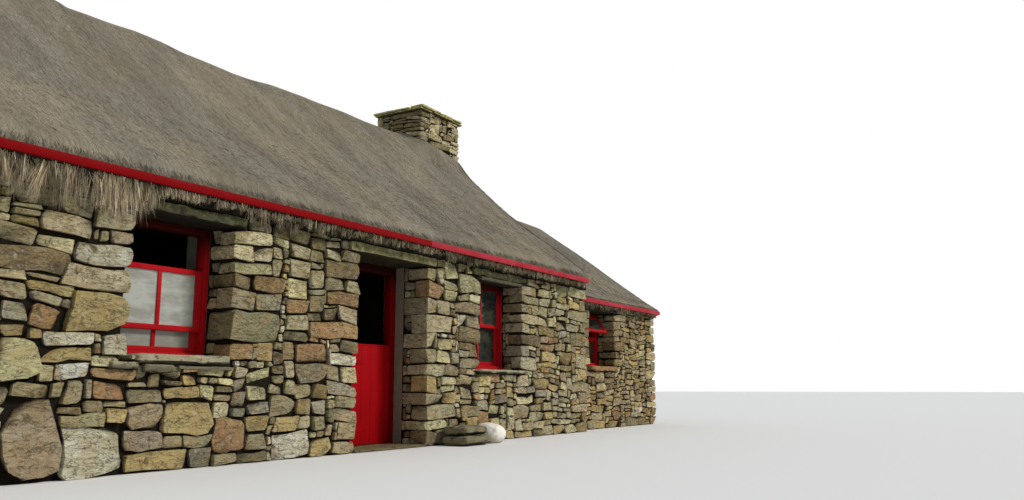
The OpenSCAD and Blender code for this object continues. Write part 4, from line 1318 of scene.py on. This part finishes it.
def build_stack():
    """The stack: flat stones round a core, a bright front and thin layers on its near side; the front's
    bright tones are painted sunlight and the near side's dark tones painted shade.
    """
    # Painted light and shade: bright tones for the sunlit front, dark ones for the shaded near side
    bright = {"cream": 4, "sand": 3, "ochre": 1.6, "buff": 1.6, "olive": 0.5, "umber": 0.4}
    dark = {"olive": 3, "umber": 4, "grey": 1, "buff": 1}
    stones = Masonry("chimney_stones", 808, bright, (0.95, 1.5), tint=(1.27, 1.3, 1.4))
    low, high, foot = STACK_LOW, STACK_HIGH, STACK_FOOT_Z
    length, width, rise = high.x - low.x, high.y - low.y, high.z - foot
    front = Face((low.x, low.y, foot), ALONG_X, BACK_Y, length, rise)
    near_side = Face((low.x, high.y, foot), BACK_Y, BACK_X, width, rise)
    faces = [
        front,
        Face((high.x, low.y, foot), ALONG_Y, ALONG_X, width, rise),
        Face((high.x, high.y, foot), BACK_X, ALONG_Y, length, rise),
        near_side,
    ]
    corners = [Corner(0, rise, stones.rng, (0.30, 0.16), (0.14, 0.26), (0.06, 0.13)) for _ in range(3)]
    corners.append(Corner(0, rise, stones.rng, (0.52, 0.34), (0.14, 0.24), (0.05, 0.09)))
    for i, face in enumerate(faces):
        # The near side takes the dark tones of painted shade, the other faces the bright ones
        stones.tones = dark if face is near_side else bright
        taken = corners[i].lay(stones, face, snap(face.width), -1) + corners[i - 1].depths()
        if face is front:
            for tone, *rect in STACK_STONES:
                stones.lay(face, rect, STACK_REACH, tone=tone, joint=0.012)
                taken.append(rect)
        if face is near_side:
            taken.append(STACK_GAP)
        sizes, ratio = (THIN, (3.0, 7.0)) if face is near_side else (FINE, (1.4, 3.0))
        for rect in stone_rects(face.width, rise, taken, stones.rng, sizes, ratio):
            stones.lay(face, rect, STACK_REACH)
    stones.join()
    slabs = [face.slab(-0.02, face.width + 0.02, 0, rise + 0.02, STACK_REBATE) for face in faces]
    wall_core("chimney_stack", slabs, SOOTED)


def build_cap():
    """Lichened slabs in two broken layers round the flue."""
    low, high = CAP_LOW, CAP_HIGH
    middle_z = low.z + 0.036
    flue_x0, flue_x1 = STACK_LOW.x + STACK_WALL, STACK_HIGH.x - STACK_WALL
    flue_y0, flue_y1 = STACK_LOW.y + STACK_WALL, STACK_HIGH.y - STACK_WALL
    plan = [
        (low.x, flue_x0 + 0.05, low.y + 0.02, high.y - 0.04, low.z, middle_z),
        (flue_x1 - 0.03, high.x, low.y + 0.03, high.y, low.z, middle_z),
        (flue_x0 + 0.06, flue_x1 - 0.04, low.y, flue_y0, low.z, middle_z + 0.006),
        (flue_x0 + 0.06, flue_x1 - 0.04, flue_y1, high.y, low.z, middle_z),
        (low.x + 0.03, flue_x0 + 0.30, low.y + 0.01, flue_y0, middle_z, high.z),
        (flue_x0 + 0.32, high.x - 0.02, low.y + 0.02, flue_y0 - 0.01, middle_z, high.z - 0.006),
        (low.x + 0.02, flue_x0, flue_y0 + 0.01, high.y, middle_z, high.z - 0.004),
        (flue_x1, high.x - 0.01, flue_y0 + 0.01, high.y - 0.03, middle_z, high.z - 0.008),
        (flue_x0 + 0.01, flue_x1 - 0.01, flue_y1 + 0.01, high.y - 0.01, middle_z, high.z - 0.012),
    ]
    slabs = [
        split_slab((x0, y0, z0), (x1, y1, z1), worn=0.016, ragged=0.014, shift=60.0 + 3 * i)
        for i, (x0, x1, y0, y1, z0, z1) in enumerate(plan)
    ]
    dress(join(slabs), "lichened_cap_slabs", CAP_SLAB, node="chimney_cap")


# Thatch

THATCH_STEP = 0.055
STATION = 0.09
VERGE_REACH = 0.30
EAVES_PULL_UP = 1.2
EAVES_PULL_REACH = 0.9
BANK_REACH = 0.38
LIP_RISE = 0.006
VISIBLE_LIMIT = np.array([6.67, 3.095, 9.0])

# Dips in the main ridge: places along it and how far each lies below a straight one
RIDGE_X = (-6.57, -5.2, -4.4, -3.95, -3.78, -3.44, -3.0, -2.58, -2.3, -1.93, -1.56, -0.88, 0.6, 1.07, 3.2)
RIDGE_DIP = (0.0, 0.03, 0.01, 0.0, 0.05, 0.03, 0.01, 0.015, 0.045, 0.05, 0.06, 0.005, 0.0, 0.02, 0.01)


class Roof:
    """A thatch: its outline runs from the front lip over the ridge to the back lip. A place
    on it is given by x and by s, the way along the outline in metres. Each end is given by
    how far the thatch is drawn in at the eaves and how far it drops at the verge."""

    def __init__(
        self, x0, x1, half, out, wall_z, lip_z, apex, under_apex, slope, board_z, nose, sag, ends,
        dips=((0,), (0,)),
    ):
        self.x0, self.x1, self.sag, self.ends, self.dips = x0, x1, sag, ends, dips
        eaves, pitch = half + out, math.atan(slope)
        turns = np.linspace(0, math.pi / 2 - pitch, 6)
        arc = [(eaves - nose * (1 - math.cos(a)), board_z + nose * math.sin(a)) for a in turns]
        nose_d, nose_z = arc[-1]
        join_d = eaves - 6 * nose
        swell_d = np.linspace(nose_d, join_d, 10)[1:]
        t = (nose_d - swell_d) / (nose_d - join_d)
        swell = (nose_z - apex + slope * nose_d) * (1 - t * t * (3 - 2 * t))
        centre = apex - RIDGE_R / math.cos(pitch)
        ridge = [(RIDGE_R * math.sin(a), centre + RIDGE_R * math.cos(a)) for a in np.linspace(pitch, 0, 6)]
        side = [(eaves, lip_z), *arc, *zip(swell_d, apex - slope * swell_d + swell), *ridge]
        outline = [(-d, z) for d, z in side] + side[-2::-1]
        outline = np.array(outline) + (RIDGE_Y, 0)
        reach = np.concatenate([[0], np.cumsum(np.linalg.norm(np.diff(outline, axis=0), axis=1))])
        self.length = reach[-1]
        self.board_s = board_z - lip_z
        self.s = np.linspace(0, self.length, round(self.length / THATCH_STEP) + 1)
        self.line = np.stack([np.interp(self.s, reach, outline[:, k]) for k in (0, 1)], axis=1)
        along = np.gradient(self.line, axis=0)
        out_of = np.stack([-along[:, 1], along[:, 0]], axis=1)
        self.normals = out_of / np.linalg.norm(out_of, axis=1, keepdims=True)
        head_d = (under_apex - wall_z) / slope
        under = [(half, wall_z), (head_d, wall_z), (head_d / 2, (under_apex + wall_z) / 2), (0, under_apex)]
        self.under = np.array(under + [(-d, z) for d, z in under[-2::-1]]) + (RIDGE_Y, 0)

    def surface(self, x, s, lift=0.0):
        """Points of the finished surface, raised by lift along its normal."""
        x, s = np.asarray(x, float), np.asarray(s, float)
        y, z = (np.interp(s, self.s, self.line[:, k]) for k in (0, 1))
        ny, nz = (np.interp(s, self.s, self.normals[:, k]) for k in (0, 1))
        place = np.stack([x, y, z], axis=1)
        from_foot = np.minimum(s, self.length - s)
        free = np.clip((from_foot - self.board_s - 0.03) / 0.35, 0, 1)
        rise = np.clip((from_foot - self.board_s) / (self.length / 2 - self.board_s), 0, 1)
        lumps = (
            0.016 * smooth_noise(place, 1.1, 1.0)
            + 0.004 * smooth_noise(place, 0.4, 5.0)
            + 0.008 * smooth_noise(place * (1.0, 0.2, 0.2), 0.42, 13.0)
            - np.interp(x, *self.dips) * rise**8
        )
        sag = self.sag * (0.6 + 0.6 * (x - self.x0) / (self.x1 - self.x0)) * np.sin(np.pi * rise)
        fall = np.zeros(len(x))
        low_down = np.clip(1 - from_foot / EAVES_PULL_UP, 0, 1) ** 1.5
        along = x
        for end_x, (pull, drop) in zip((self.x0, self.x1), self.ends):
            near = np.clip(1 - np.abs(x - end_x) / VERGE_REACH, 0, 1)
            fall += drop * (1 - np.sqrt(1 - near**2))
            drawn = np.clip(1 - np.abs(x - end_x) / EAVES_PULL_REACH, 0, 1)
            along = along + np.sign(self.x0 + self.x1 - 2 * end_x) * pull * low_down * drawn

        # The main thatch is banked up round the stack
        off_x = off_span(x, STACK_LOW.x, STACK_HIGH.x)
        off_y = off_span(y, STACK_LOW.y, STACK_HIGH.y)
        bank = np.interp(x, (STACK_LOW.x, STACK_HIGH.x), (0.205, 0.065))
        bank = bank * np.interp(np.abs(y - RIDGE_Y), (0.0, 0.2, 0.46), (0.15, 0.45, 1.0))
        bank = bank * np.clip(1 - np.hypot(off_x, off_y) / BANK_REACH, 0, 1) ** 2
        offset = free * (lumps - sag + bank * (self.x0 < STACK_LOW.x))
        offset = offset - np.minimum(free + 0.2, 1) * fall + lift
        return np.stack([along, y + ny * offset, z + nz * offset], axis=1)

    def stations(self):
        """The places along the roof where its shell is divided, closer at its ends."""
        inside = np.linspace(self.x0, self.x1, round((self.x1 - self.x0) / STATION) + 1)
        close = np.array([0.015, 0.035, 0.06])
        return np.unique(np.concatenate([inside, self.x0 + close, self.x1 - close]))

    def shell(self, name):
        """The thatch's body: a divided sheet wrapped round its outline, sewn and capped."""
        stations = self.stations()
        ring = len(self.s) + len(self.under)
        deselect()
        bpy.ops.mesh.primitive_grid_add(x_subdivisions=len(stations) - 1, y_subdivisions=ring, size=2)
        obj = bpy.context.object
        grid = points_of(obj)
        column = np.rint((grid[:, 0] + 1) / 2 * (len(stations) - 1)).astype(int)
        row = np.rint((grid[:, 1] + 1) / 2 * ring).astype(int) % ring
        x = stations[column]
        over = row < len(self.s)
        co = self.surface(x, self.s[np.minimum(row, len(self.s) - 1)])
        under = self.under[np.clip(row - len(self.s), 0, len(self.under) - 1)]
        co = np.where(over[:, None], co, np.stack([x, under[:, 0], under[:, 1]], axis=1))
        set_points(obj, co)
        edit(
            obj,
            lambda: bpy.ops.mesh.remove_doubles(threshold=0.0004),
            lambda: bpy.ops.mesh.select_all(action="DESELECT"),
            lambda: bpy.ops.mesh.select_non_manifold(extend=False, use_boundary=True, use_wire=False),
            lambda: bpy.ops.mesh.fill_holes(sides=0),
            lambda: bpy.ops.mesh.select_all(action="SELECT"),
            lambda: bpy.ops.mesh.normals_make_consistent(inside=False),
        )
        obj.name = name
        return obj


def unit(vectors):
    return vectors / np.maximum(np.linalg.norm(vectors, axis=1, keepdims=True), 1e-9)


class Straws:
    """Loose straws, each a slim closed spike copied from one cone."""

    SHADES = ("straw_dark", "straw_grey", "straw", "straw_warm", "straw_pale")

    def __init__(self, name, seed):
        self.name = name
        self.rng = np.random.default_rng(seed)
        self.rows = []

    def add(self, roots, tips, widths, tones):
        roots, tips = (np.clip(ends, -VISIBLE_LIMIT, VISIBLE_LIMIT) for ends in (roots, tips))
        self.rows.append((roots, tips, widths, tones))

    def tone(self, place, pale=0.0):
        """Each straw's colour: darker and paler bunches, with single straws apart."""
        bunch = 0.5 + 0.35 * smooth_noise(place * (1.0, 0.3, 0.3), 0.07, 2.0)
        bunch += self.rng.normal(0, 0.32, len(place))
        steps = np.array([paint(name) for name in self.SHADES])
        at = np.clip((bunch + pale) * 4, 0, 4)
        low = np.minimum(at.astype(int), 3)
        part = (at - low)[:, None]
        tone = steps[low] * (1 - part) + steps[low + 1] * part
        return tone * self.rng.uniform(0.55, 1.2, (len(place), 1))

    def lay(
        self, roof, count, x_span, s_span, length=(0.06, 0.16), lift=(0.001, 0.007), pale=0.0, crowd=1.0
    ):
        """Lays straws down the slope between two places on the outline, front side first; a
        crowd over 1 gathers them toward the first place."""
        rng = self.rng
        x = rng.uniform(*x_span, count)
        s = s_span[0] + (s_span[1] - s_span[0]) * rng.random(count) ** crowd
        down = np.where(s < roof.length / 2, -1, 1)
        reach = rng.uniform(*length, count)
        end = np.clip(s + down * reach, 0, roof.length)
        aside = rng.normal(0, 0.24, count) * reach
        x_end = np.clip(x + aside, roof.x0, roof.x1)
        roots = roof.surface(x, s, -0.006)
        tips = roof.surface(x_end, end, rng.uniform(*lift, count))
        self.add(roots, tips, rng.uniform(0.0015, 0.0032, count), self.tone(roots, pale))

    def lay_over_board(self, roof, count, x_span, board):
        """Lays straw ends over the top edge of a front eaves board, given by its corners."""
        rng = self.rng
        x = rng.uniform(*x_span, count)
        roots = roof.surface(x, roof.board_s + rng.uniform(0.02, 0.10, count), -0.004)
        low, high = board
        tips = np.stack([
            x + rng.normal(0, 0.014, count), low.y - rng.uniform(0.001, 0.006, count),
            high.z + rng.uniform(-0.014, 0.010, count),
        ], axis=1)
        self.add(roots, tips, rng.uniform(0.0016, 0.0032, count), self.tone(roots, 0.25))

    def join(self):
        """The joined mesh of all the straws, riding on the house."""
        roots, tips, widths, tones = (np.concatenate(rows) for rows in zip(*self.rows))
        deselect()
        bpy.ops.mesh.primitive_cone_add(vertices=3, radius1=1, radius2=0, depth=1, location=(0, 0, 0.5))
        settle(bpy.context.object)
        shape, faces = take_blank(bpy.context.object)
        axis = tips - roots
        along = unit(axis)
        side = unit(np.cross(along, self.rng.normal(size=axis.shape)))
        other = np.cross(along, side)
        wide = widths[:, None, None]
        co = (
            roots[:, None]
            + axis[:, None] * shape[None, :, 2:3]
            + side[:, None] * shape[None, :, 0:1] * wide
            + other[:, None] * shape[None, :, 1:2] * wide
        )
        faces = (np.arange(len(roots))[:, None, None] * len(shape) + faces).reshape(-1, 3).tolist()
        straws = laid_copies(self.name, co.reshape(-1, 3), faces, np.repeat(tones, len(shape), axis=0))
        dress(straws, self.name, STRAWS, smooth=0)


main_roof = Roof(
    NEAR_X, FAR_X, MAIN_HALF, EAVES_OUT, MAIN_HEAD_Z, MAIN_BOARD_LOW + LIP_RISE, MAIN_APEX_Z, MAIN_UNDER_Z,
    MAIN_SLOPE, MAIN_BOARD_TOP, NOSE_R, 0.05, ((0.24, 0.16), (0.24, 0.16)), (RIDGE_X, RIDGE_DIP),
)
low_roof = Roof(
    FAR_X - 0.10, LOW_END_X, LOW_HALF, LOW_EAVES_OUT, LOW_HEAD_Z, LOW_BOARD_LOW + LIP_RISE, LOW_APEX_Z,
    LOW_UNDER_Z, LOW_SLOPE, LOW_BOARD_TOP, NOSE_R / 4, 0.0, ((0.0, 0.0), (0.07, 0.02)),
)


def build_thatch():
    """The bodies of both roofs, the main one open round the stack."""
    body = main_roof.shell("main_thatch_body")
    inset = 0.06
    cut(
        body, (STACK_LOW.x + inset, STACK_LOW.y + inset, 3.3),
        (STACK_HIGH.x - inset, STACK_HIGH.y - inset, 5.5),
    )
    dress(body, "main_thatch_body", THATCH, smooth=50, node="main_thatch")
    body = low_roof.shell("low_thatch_body")
    dress(body, "low_thatch_body", THATCH, smooth=50, node="low_thatch")


def lay_straws():
    """Loose straws over both roofs, thickest where the camera sees them."""
    x0, x1 = main_roof.x0, main_roof.x1
    board, middle, full = main_roof.board_s, main_roof.length / 2, main_roof.length
    front = Straws("main_front_straws", 11)
    front.lay(main_roof, 30000, (x0, x1), (board + 0.06, middle))
    low_band = (board + 0.03, board + 1.5)
    front.lay(main_roof, 6500, (x0, x1), low_band, (0.06, 0.14), pale=0.03, crowd=1.4)
    front.lay_over_board(main_roof, 2500, (x0 + 0.26, x1 - 0.26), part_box("main_eaves_boards"))
    front.lay(main_roof, 4000, (x0, x1), (middle - 0.35, middle + 0.35), pale=0.1)
    front.lay(main_roof, 2500, (x1 - 0.25, x1), (board, middle), (0.08, 0.16), (0.0, 0.02), pale=0.1)
    front.join()
    back = Straws("main_back_straws", 12)
    back.lay(main_roof, 15000, (x0, x1), (middle, full - board - 0.05))
    back.join()
    board, middle, full = low_roof.board_s, low_roof.length / 2, low_roof.length
    low = Straws("low_straws", 13)
    span = (FAR_X + 0.02, low_roof.x1)
    low.lay(low_roof, 12000, span, (board + 0.03, middle))
    low.lay_over_board(low_roof, 900, (FAR_X + 0.03, LOW_END_X - 0.1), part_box("low_eaves_boards"))
    low.lay(low_roof, 5000, span, (middle, full - board - 0.05))
    low.join()


class Tufts:
    """The felted bodies of hanging tufts, each a flattened clump that tapers downward."""

    LEVELS, SIDES = 5, 6

    def __init__(self, name):
        self.name, self.rows, self.tones = name, [], []

    def add(self, x, y, top, drop, wide, lean, tone):
        self.rows.append((x, y, top, drop, wide, lean))
        self.tones.append(tone)

    def blank_faces(self):
        """One tuft's faces: its rings' sides, and fans to the middles of its two ends."""
        levels, sides = self.LEVELS, self.SIDES
        top_end, low_end, last = levels * sides, levels * sides + 1, (levels - 1) * sides
        faces = []
        for side in range(sides):
            after = (side + 1) % sides
            for a in range(0, last, sides):
                faces.append((a + side, a + sides + side, a + sides + after, a + after))
            faces.append((top_end, side, after))
            faces.append((low_end, last + after, last + side))
        return faces

    def join(self):
        """The joined mesh of all the tufts, riding on the house."""
        levels, sides = self.LEVELS, self.SIDES
        x, y, top, drop, wide, lean = (np.array(column)[:, None, None] for column in zip(*self.rows))
        t = np.linspace(0, 1, levels)[None, :, None]
        turn = np.linspace(0, 2 * math.pi, sides, endpoint=False)[None, None, :]
        taper = 1 - 0.75 * t**1.3
        rings = np.stack(np.broadcast_arrays(
            x + lean * drop * t + wide * taper * np.cos(turn),
            y + 0.022 * taper * np.sin(turn),
            top - drop * t,
        ), axis=-1)
        ends = rings[:, (0, -1)].mean(axis=2)
        co = np.concatenate([rings.reshape(len(x), -1, 3), ends], axis=1)
        each = co.shape[1]
        co = co.reshape(-1, 3)
        co = co + noise_vectors(co, 0.03) * (0.012, 0.006, 0.012)
        blank = self.blank_faces()
        faces = [[i * each + v for v in face] for i in range(len(x)) for face in blank]
        # Painted shade: each tuft darker toward its top under the board, its top end darkest
        shade = np.concatenate([np.repeat(np.linspace(0.55, 1.0, levels), sides), [0.5, 1.0]])
        tones = np.array(self.tones)[:, None, :] * shade[None, :, None]
        dress(laid_copies(self.name, co, faces, tones.reshape(-1, 3)), self.name, TUFTS, smooth=60)


# The fringe: its tint, and how far it hangs and how mossy it is at places along the house
WARM = np.array([1.24, 1.14, 0.98])
FRINGE_X = (-6.6, -5.2, -4.6, -4.45, -3.7, -3.5, -2.2, -1.9, -0.9, -0.5, 0.2, 1.3, 2.9)
FRINGE_HANG = (0.33, 0.30, 0.28, 0.09, 0.08, 0.16, 0.12, 0.07, 0.08, 0.13, 0.10, 0.09, 0.07)
MOSSY_X = (-3.6, -2.4, 0.2, 2.9)
MOSSY = (0.05, 0.45, 0.7, 0.6)
LIP_BEHIND = (0.21, 0.32)
HELD = 0.045


def lay_tufts(fringe, bodies, x_span, count, straws, hang, place, behind=(0.25, 0.75), pale=0.0):
    """Hangs tufts of thatch ends between a wall and its eaves board, given by their places
    and the board's foot."""
    rng = fringe.rng
    wall_y, board_y, shadow_z = place
    for x in rng.uniform(*x_span, count):
        drop = hang(x) * rng.uniform(0.4, 1.15)
        wide, lean = rng.uniform(0.018, 0.045), rng.normal(0, 0.12)
        share = rng.uniform(*behind)
        y = board_y + (wall_y - board_y) * share
        tone = fringe.tone(np.array([[x, y, shadow_z]]), pale + rng.uniform(0.15, 0.65))[0] * WARM
        moss = np.interp(x, MOSSY_X, MOSSY) * rng.random()
        tone = tone * (1 - moss) + 0.5 * np.array(paint("moss")) * moss
        # The body is darker than its straws: painted shade among the straws
        bodies.add(x, y, shadow_z + HELD, drop * 0.8 + HELD, wide, lean, 0.75 * tone)
        n = max(8, int(straws * rng.uniform(0.6, 1.2) * (0.3 + drop / 0.3)))
        off = rng.normal(0, 0.7 * wide, n)
        straw_y = y + rng.normal(0, 0.016, n)
        roots = np.stack([x + off, straw_y, shadow_z + rng.uniform(0.0, HELD, n)], axis=1)
        end_x = x + 0.8 * off + lean * drop + rng.normal(0, 0.006 + 0.10 * drop, n)
        end_y = straw_y + rng.normal(0, 0.006 + 0.05 * drop, n)
        end_z = shadow_z - np.maximum(drop * rng.uniform(0.4, 1.1, n), 0.012)
        tips = np.stack([end_x, end_y, end_z], axis=1)
        widths = rng.uniform(0.0016, 0.0036, n)
        fringe.add(roots, tips, widths, tone * rng.uniform(0.7, 2.2, (n, 1)))


def lay_fringe():
    """The shaggy ends that hang behind and below the eaves boards."""
    fringe = Straws("eaves_fringe", 14)
    bodies = Tufts("eaves_tufts")
    main = (MAIN_FRONT_Y, MAIN_FRONT_Y - EAVES_OUT, MAIN_BOARD_LOW)
    low = (LOW_FRONT_Y, LOW_FRONT_Y - LOW_EAVES_OUT, LOW_BOARD_LOW)
    back = (MAIN_BACK_Y, MAIN_BACK_Y + EAVES_OUT, MAIN_BOARD_LOW)
    low_back = (LOW_BACK_Y, LOW_BACK_Y + LOW_EAVES_OUT, LOW_BOARD_LOW)
    whole = (NEAR_X + 0.26, FAR_X - 0.27)
    near = (NEAR_X + 0.26, -4.55)
    low_span = (FAR_X + 0.05, LOW_END_X - 0.12)
    for row in (
        (whole, 230, 46, lambda x: np.interp(x, FRINGE_X, FRINGE_HANG), main),
        (near, 60, 60, lambda x: 0.30, main),
        (whole, 320, 44, lambda x: 0.085, main, LIP_BEHIND, 0.3),
        (low_span, 110, 36, lambda x: 0.06, low, LIP_BEHIND, 0.3),
        (low_span, 64, 36, lambda x: 0.10, low),
        (whole, 110, 22, lambda x: 0.06, back),
        (low_span, 36, 22, lambda x: 0.05, low_back),
    ):
        lay_tufts(fringe, bodies, *row)
    fringe.join()
    bodies.join()


# Joinery

FRONT_FRAMES = ("near_window_frame", "far_window_frame", "low_window_frame")
FRONT_SASHES = (
    "near_window_upper_sash", "near_window_lower_sash", "far_window_upper_sash", "far_window_lower_sash",
)
# Where the boards' red turns from painted shade to painted sunlight
SUNLIT_BOARDS_X = -1.02
BOARD_T = 0.03
BOARD_GAP = 0.0015


def eaves_boards():
    """Red boards along the eaves, in lengths a little out of line with each other."""
    for node, front_joints, back_joints in (
        ("main_eaves_boards", (SUNLIT_BOARDS_X, 0.85, 1.69), (-4.1, -1.3, 1.2)),
        ("low_eaves_boards", (5.1,), (4.9,)),
    ):
        low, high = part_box(node)
        rng = np.random.default_rng(len(node))
        pieces = []
        for joints, y0 in ((front_joints, low.y), (back_joints, high.y - BOARD_T)):
            ends = [low.x, *joints, high.x]
            for x0, x1 in zip(ends[:-1], ends[1:]):
                shift, drop = rng.uniform(0.001, 0.004), rng.uniform(0.0, 0.004)
                pieces.append(eased_box(
                    (x0 + BOARD_GAP, y0 + shift, low.z + 0.004 - drop),
                    (x1 - BOARD_GAP, y0 + BOARD_T, high.z - drop), 0.0016,
                ))
        board = dress(join(pieces), "red_" + node, [RED_BOARD_SHADED, RED_BOARD_SUNLIT], node=node)
        # Near boards take the red in painted shade, boards past the joint the red in painted sunlight
        pick_finishes(board, [face.center.x > SUNLIT_BOARDS_X for face in board.data.polygons])


def half_door():
    """Six upright boards with grooves between them, two ledges behind and a cap rail."""
    low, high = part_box("half_door")
    count, face_t, cap, groove = 6, 0.024, 0.020, 0.0008
    step = (high.x - low.x) / count
    parts = []
    for i in range(count):
        x0, x1 = low.x + i * step + groove, low.x + (i + 1) * step - groove
        parts.append(eased_box((x0, low.y, low.z), (x1, low.y + face_t, high.z - cap), 0.0022))
    for z in (low.z + 0.13, high.z - 0.24):
        parts.append(eased_box((low.x + 0.03, low.y + face_t - 0.001, z), (high.x - 0.03, high.y, z + 0.11)))
    parts.append(eased_box((low.x, low.y, high.z - cap - 0.0005), (high.x, high.y, high.z), 0.005))
    dress(join(parts), "boarded_half_door", RED_DOOR, body=LEAF, node="half_door")


def glazing_bars():
    """Bars in the middle of the front sashes, and beads beside their stiles."""
    parts = []
    for node in FRONT_SASHES:
        low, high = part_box(node)
        middle, y0, y1 = (low.x + high.x) / 2, low.y + 0.004, low.y + 0.014
        parts.append(eased_box((middle - 0.019, y0, low.z + 0.04), (middle + 0.019, y1, high.z - 0.04)))
        for x in (low.x + 0.040, high.x - 0.070):
            parts.append(eased_box((x, y0, low.z + 0.03), (x + 0.030, y1, high.z - 0.03)))
    dress(join(parts), "front_glazing_bars", RED)


def window_beads():
    """The beads that hold the sashes in, and the wooden sill under each front frame."""
    parts = []
    for node in FRONT_FRAMES:
        low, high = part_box(node)
        y0, y1 = low.y - 0.012, low.y + 0.001
        foot, head = low.z + 0.045, high.z - 0.03
        for x in (low.x + 0.040, high.x - 0.060):
            parts.append(eased_box((x, y0, foot), (x + 0.020, y1, head)))
        parts.append(eased_box((low.x + 0.04, y0, high.z - 0.055), (high.x - 0.04, y1, head)))
        parts.append(eased_box(
            (low.x + 0.004, low.y - 0.030, low.z + 0.001), (high.x - 0.004, low.y + 0.002, foot)
        ))
    dress(join(parts), "window_beads", RED)


def joinery():
    """Frames and sashes as packed, with their long edges eased, and all that is nailed to them."""
    for node in (
        "door_frame", *FRONT_FRAMES, "back_window_frames", *FRONT_SASHES, "low_window_open_light",
        "back_window_sashes",
    ):
        # The door frame takes the deeper red, painted shade
        red = RED_FRAME_SHADED if node == "door_frame" else RED
        softened = eased(free_copy(node), 0.003, limit_method="ANGLE", angle_limit=math.radians(40))
        dress(softened, node + "_painted", red, node=node)
    glazing_bars()
    window_beads()
    eaves_boards()
    half_door()


def panes():
    """The sheets of glass: the near window's with the sky's reflection painted in, the others painted dark
    with the room's shade.
    """
    glass = free_copy("window_glass")
    dress(glass, "window_panes", [SHADE_PAINTED_GLASS, SKY_PAINTED_GLASS], smooth=0, node="window_glass")
    middles = [face.center for face in glass.data.polygons]
    pick_finishes(glass, [at.x < DOOR_LOW.x and at.y < MAIN_FRONT_Y + 1.0 for at in middles])


def show(node, material):
    """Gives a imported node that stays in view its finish."""
    obj = NODES[node]
    for slot in obj.material_slots:
        slot.material = material
    if not obj.material_slots:
        obj.data.materials.append(material)


# Floor, light and camera

FLOOR_COLOUR = (0.72, 0.72, 0.71)
SKY_LIGHT, BACKDROP = ((0.86, 0.92, 1.0), 0.55), ((1, 1, 1), 1.0)
SUN_COLOUR, SUN_ENERGY, SUN_SPREAD = (1.0, 0.96, 0.89), 2.6, 12
SUN_WAY = Vector((-0.45, 0.72, -0.62))


def pale_floor():
    """A plain pale floor under the house."""
    deselect()
    bpy.ops.mesh.primitive_plane_add(size=400, location=(0, 0, -0.002))
    floor = bpy.context.object
    floor.name = "floor"
    floor.data.materials.append(Finish("pale_floor", rough=0.9, specular=0.1).finish(FLOOR_COLOUR))


def soft_light():
    """A pale sky, white where it is seen straight, reflected or through glass, and one sun."""
    world = bpy.data.worlds.new("soft_light")
    bpy.context.scene.world = world
    world.use_nodes = True
    tree = world.node_tree
    tree.nodes.clear()
    rays = tree.nodes.new("ShaderNodeLightPath")
    seen = rays.outputs["Is Camera Ray"]
    for other in ("Is Glossy Ray", "Is Transmission Ray"):
        either = tree.nodes.new("ShaderNodeMath")
        either.operation = "MAXIMUM"
        tree.links.new(seen, either.inputs[0])
        tree.links.new(rays.outputs[other], either.inputs[1])
        seen = either.outputs[0]
    mix = tree.nodes.new("ShaderNodeMixShader")
    tree.links.new(seen, mix.inputs[0])
    for i, (colour, strength) in enumerate((SKY_LIGHT, BACKDROP)):
        back = tree.nodes.new("ShaderNodeBackground")
        back.inputs["Color"].default_value = (*colour, 1)
        back.inputs["Strength"].default_value = strength
        tree.links.new(back.outputs[0], mix.inputs[i + 1])
    out = tree.nodes.new("ShaderNodeOutputWorld")
    tree.links.new(mix.outputs[0], out.inputs[0])

    deselect()
    bpy.ops.object.light_add(type="SUN", location=(4, -8, 10))
    sun = bpy.context.object
    sun.name = "main_light"
    sun.data.energy = SUN_ENERGY
    sun.data.angle = math.radians(SUN_SPREAD)
    sun.data.color = SUN_COLOUR
    sun.rotation_euler = SUN_WAY.to_track_quat("-Z", "Y").to_euler()


def set_camera():
    """The low view along the facade."""
    data = bpy.data.cameras.new("view")
    data.sensor_width = 36
    data.lens = CAMERA_LENS
    camera = bpy.data.objects.new("view", data)
    bpy.context.scene.collection.objects.link(camera)
    heading, pitch = math.radians(CAMERA_HEADING), math.radians(CAMERA_PITCH)
    level = math.cos(pitch)
    ahead = Vector((math.cos(heading) * level, math.sin(heading) * level, math.sin(pitch)))
    camera.location = CAMERA_PLACE
    camera.rotation_euler = ahead.to_track_quat("-Z", "Y").to_euler()
    bpy.context.scene.camera = camera
    bpy.context.scene.view_settings.view_transform = "Standard"


pale_floor()
soft_light()
set_camera()
lay_main_walls()
lay_low_walls()
build_cores()
window_slabs()
door_slabs()
build_seat()
build_stack()
build_cap()
build_thatch()
lay_straws()
lay_fringe()
joinery()
panes()
for finish, shown in (
    (TIMBER, ("main_couples", "low_couples", "main_purlins", "low_purlins")),
    (FLAGS, ("main_floor", "low_floor")), (LIMEWASH, ("chimney_breast",)), (IRON, ("hinge_pintles",)),
    (RED_DOOR, ("strap_hinges",)),
):
    for node in shown:
        show(node, finish)
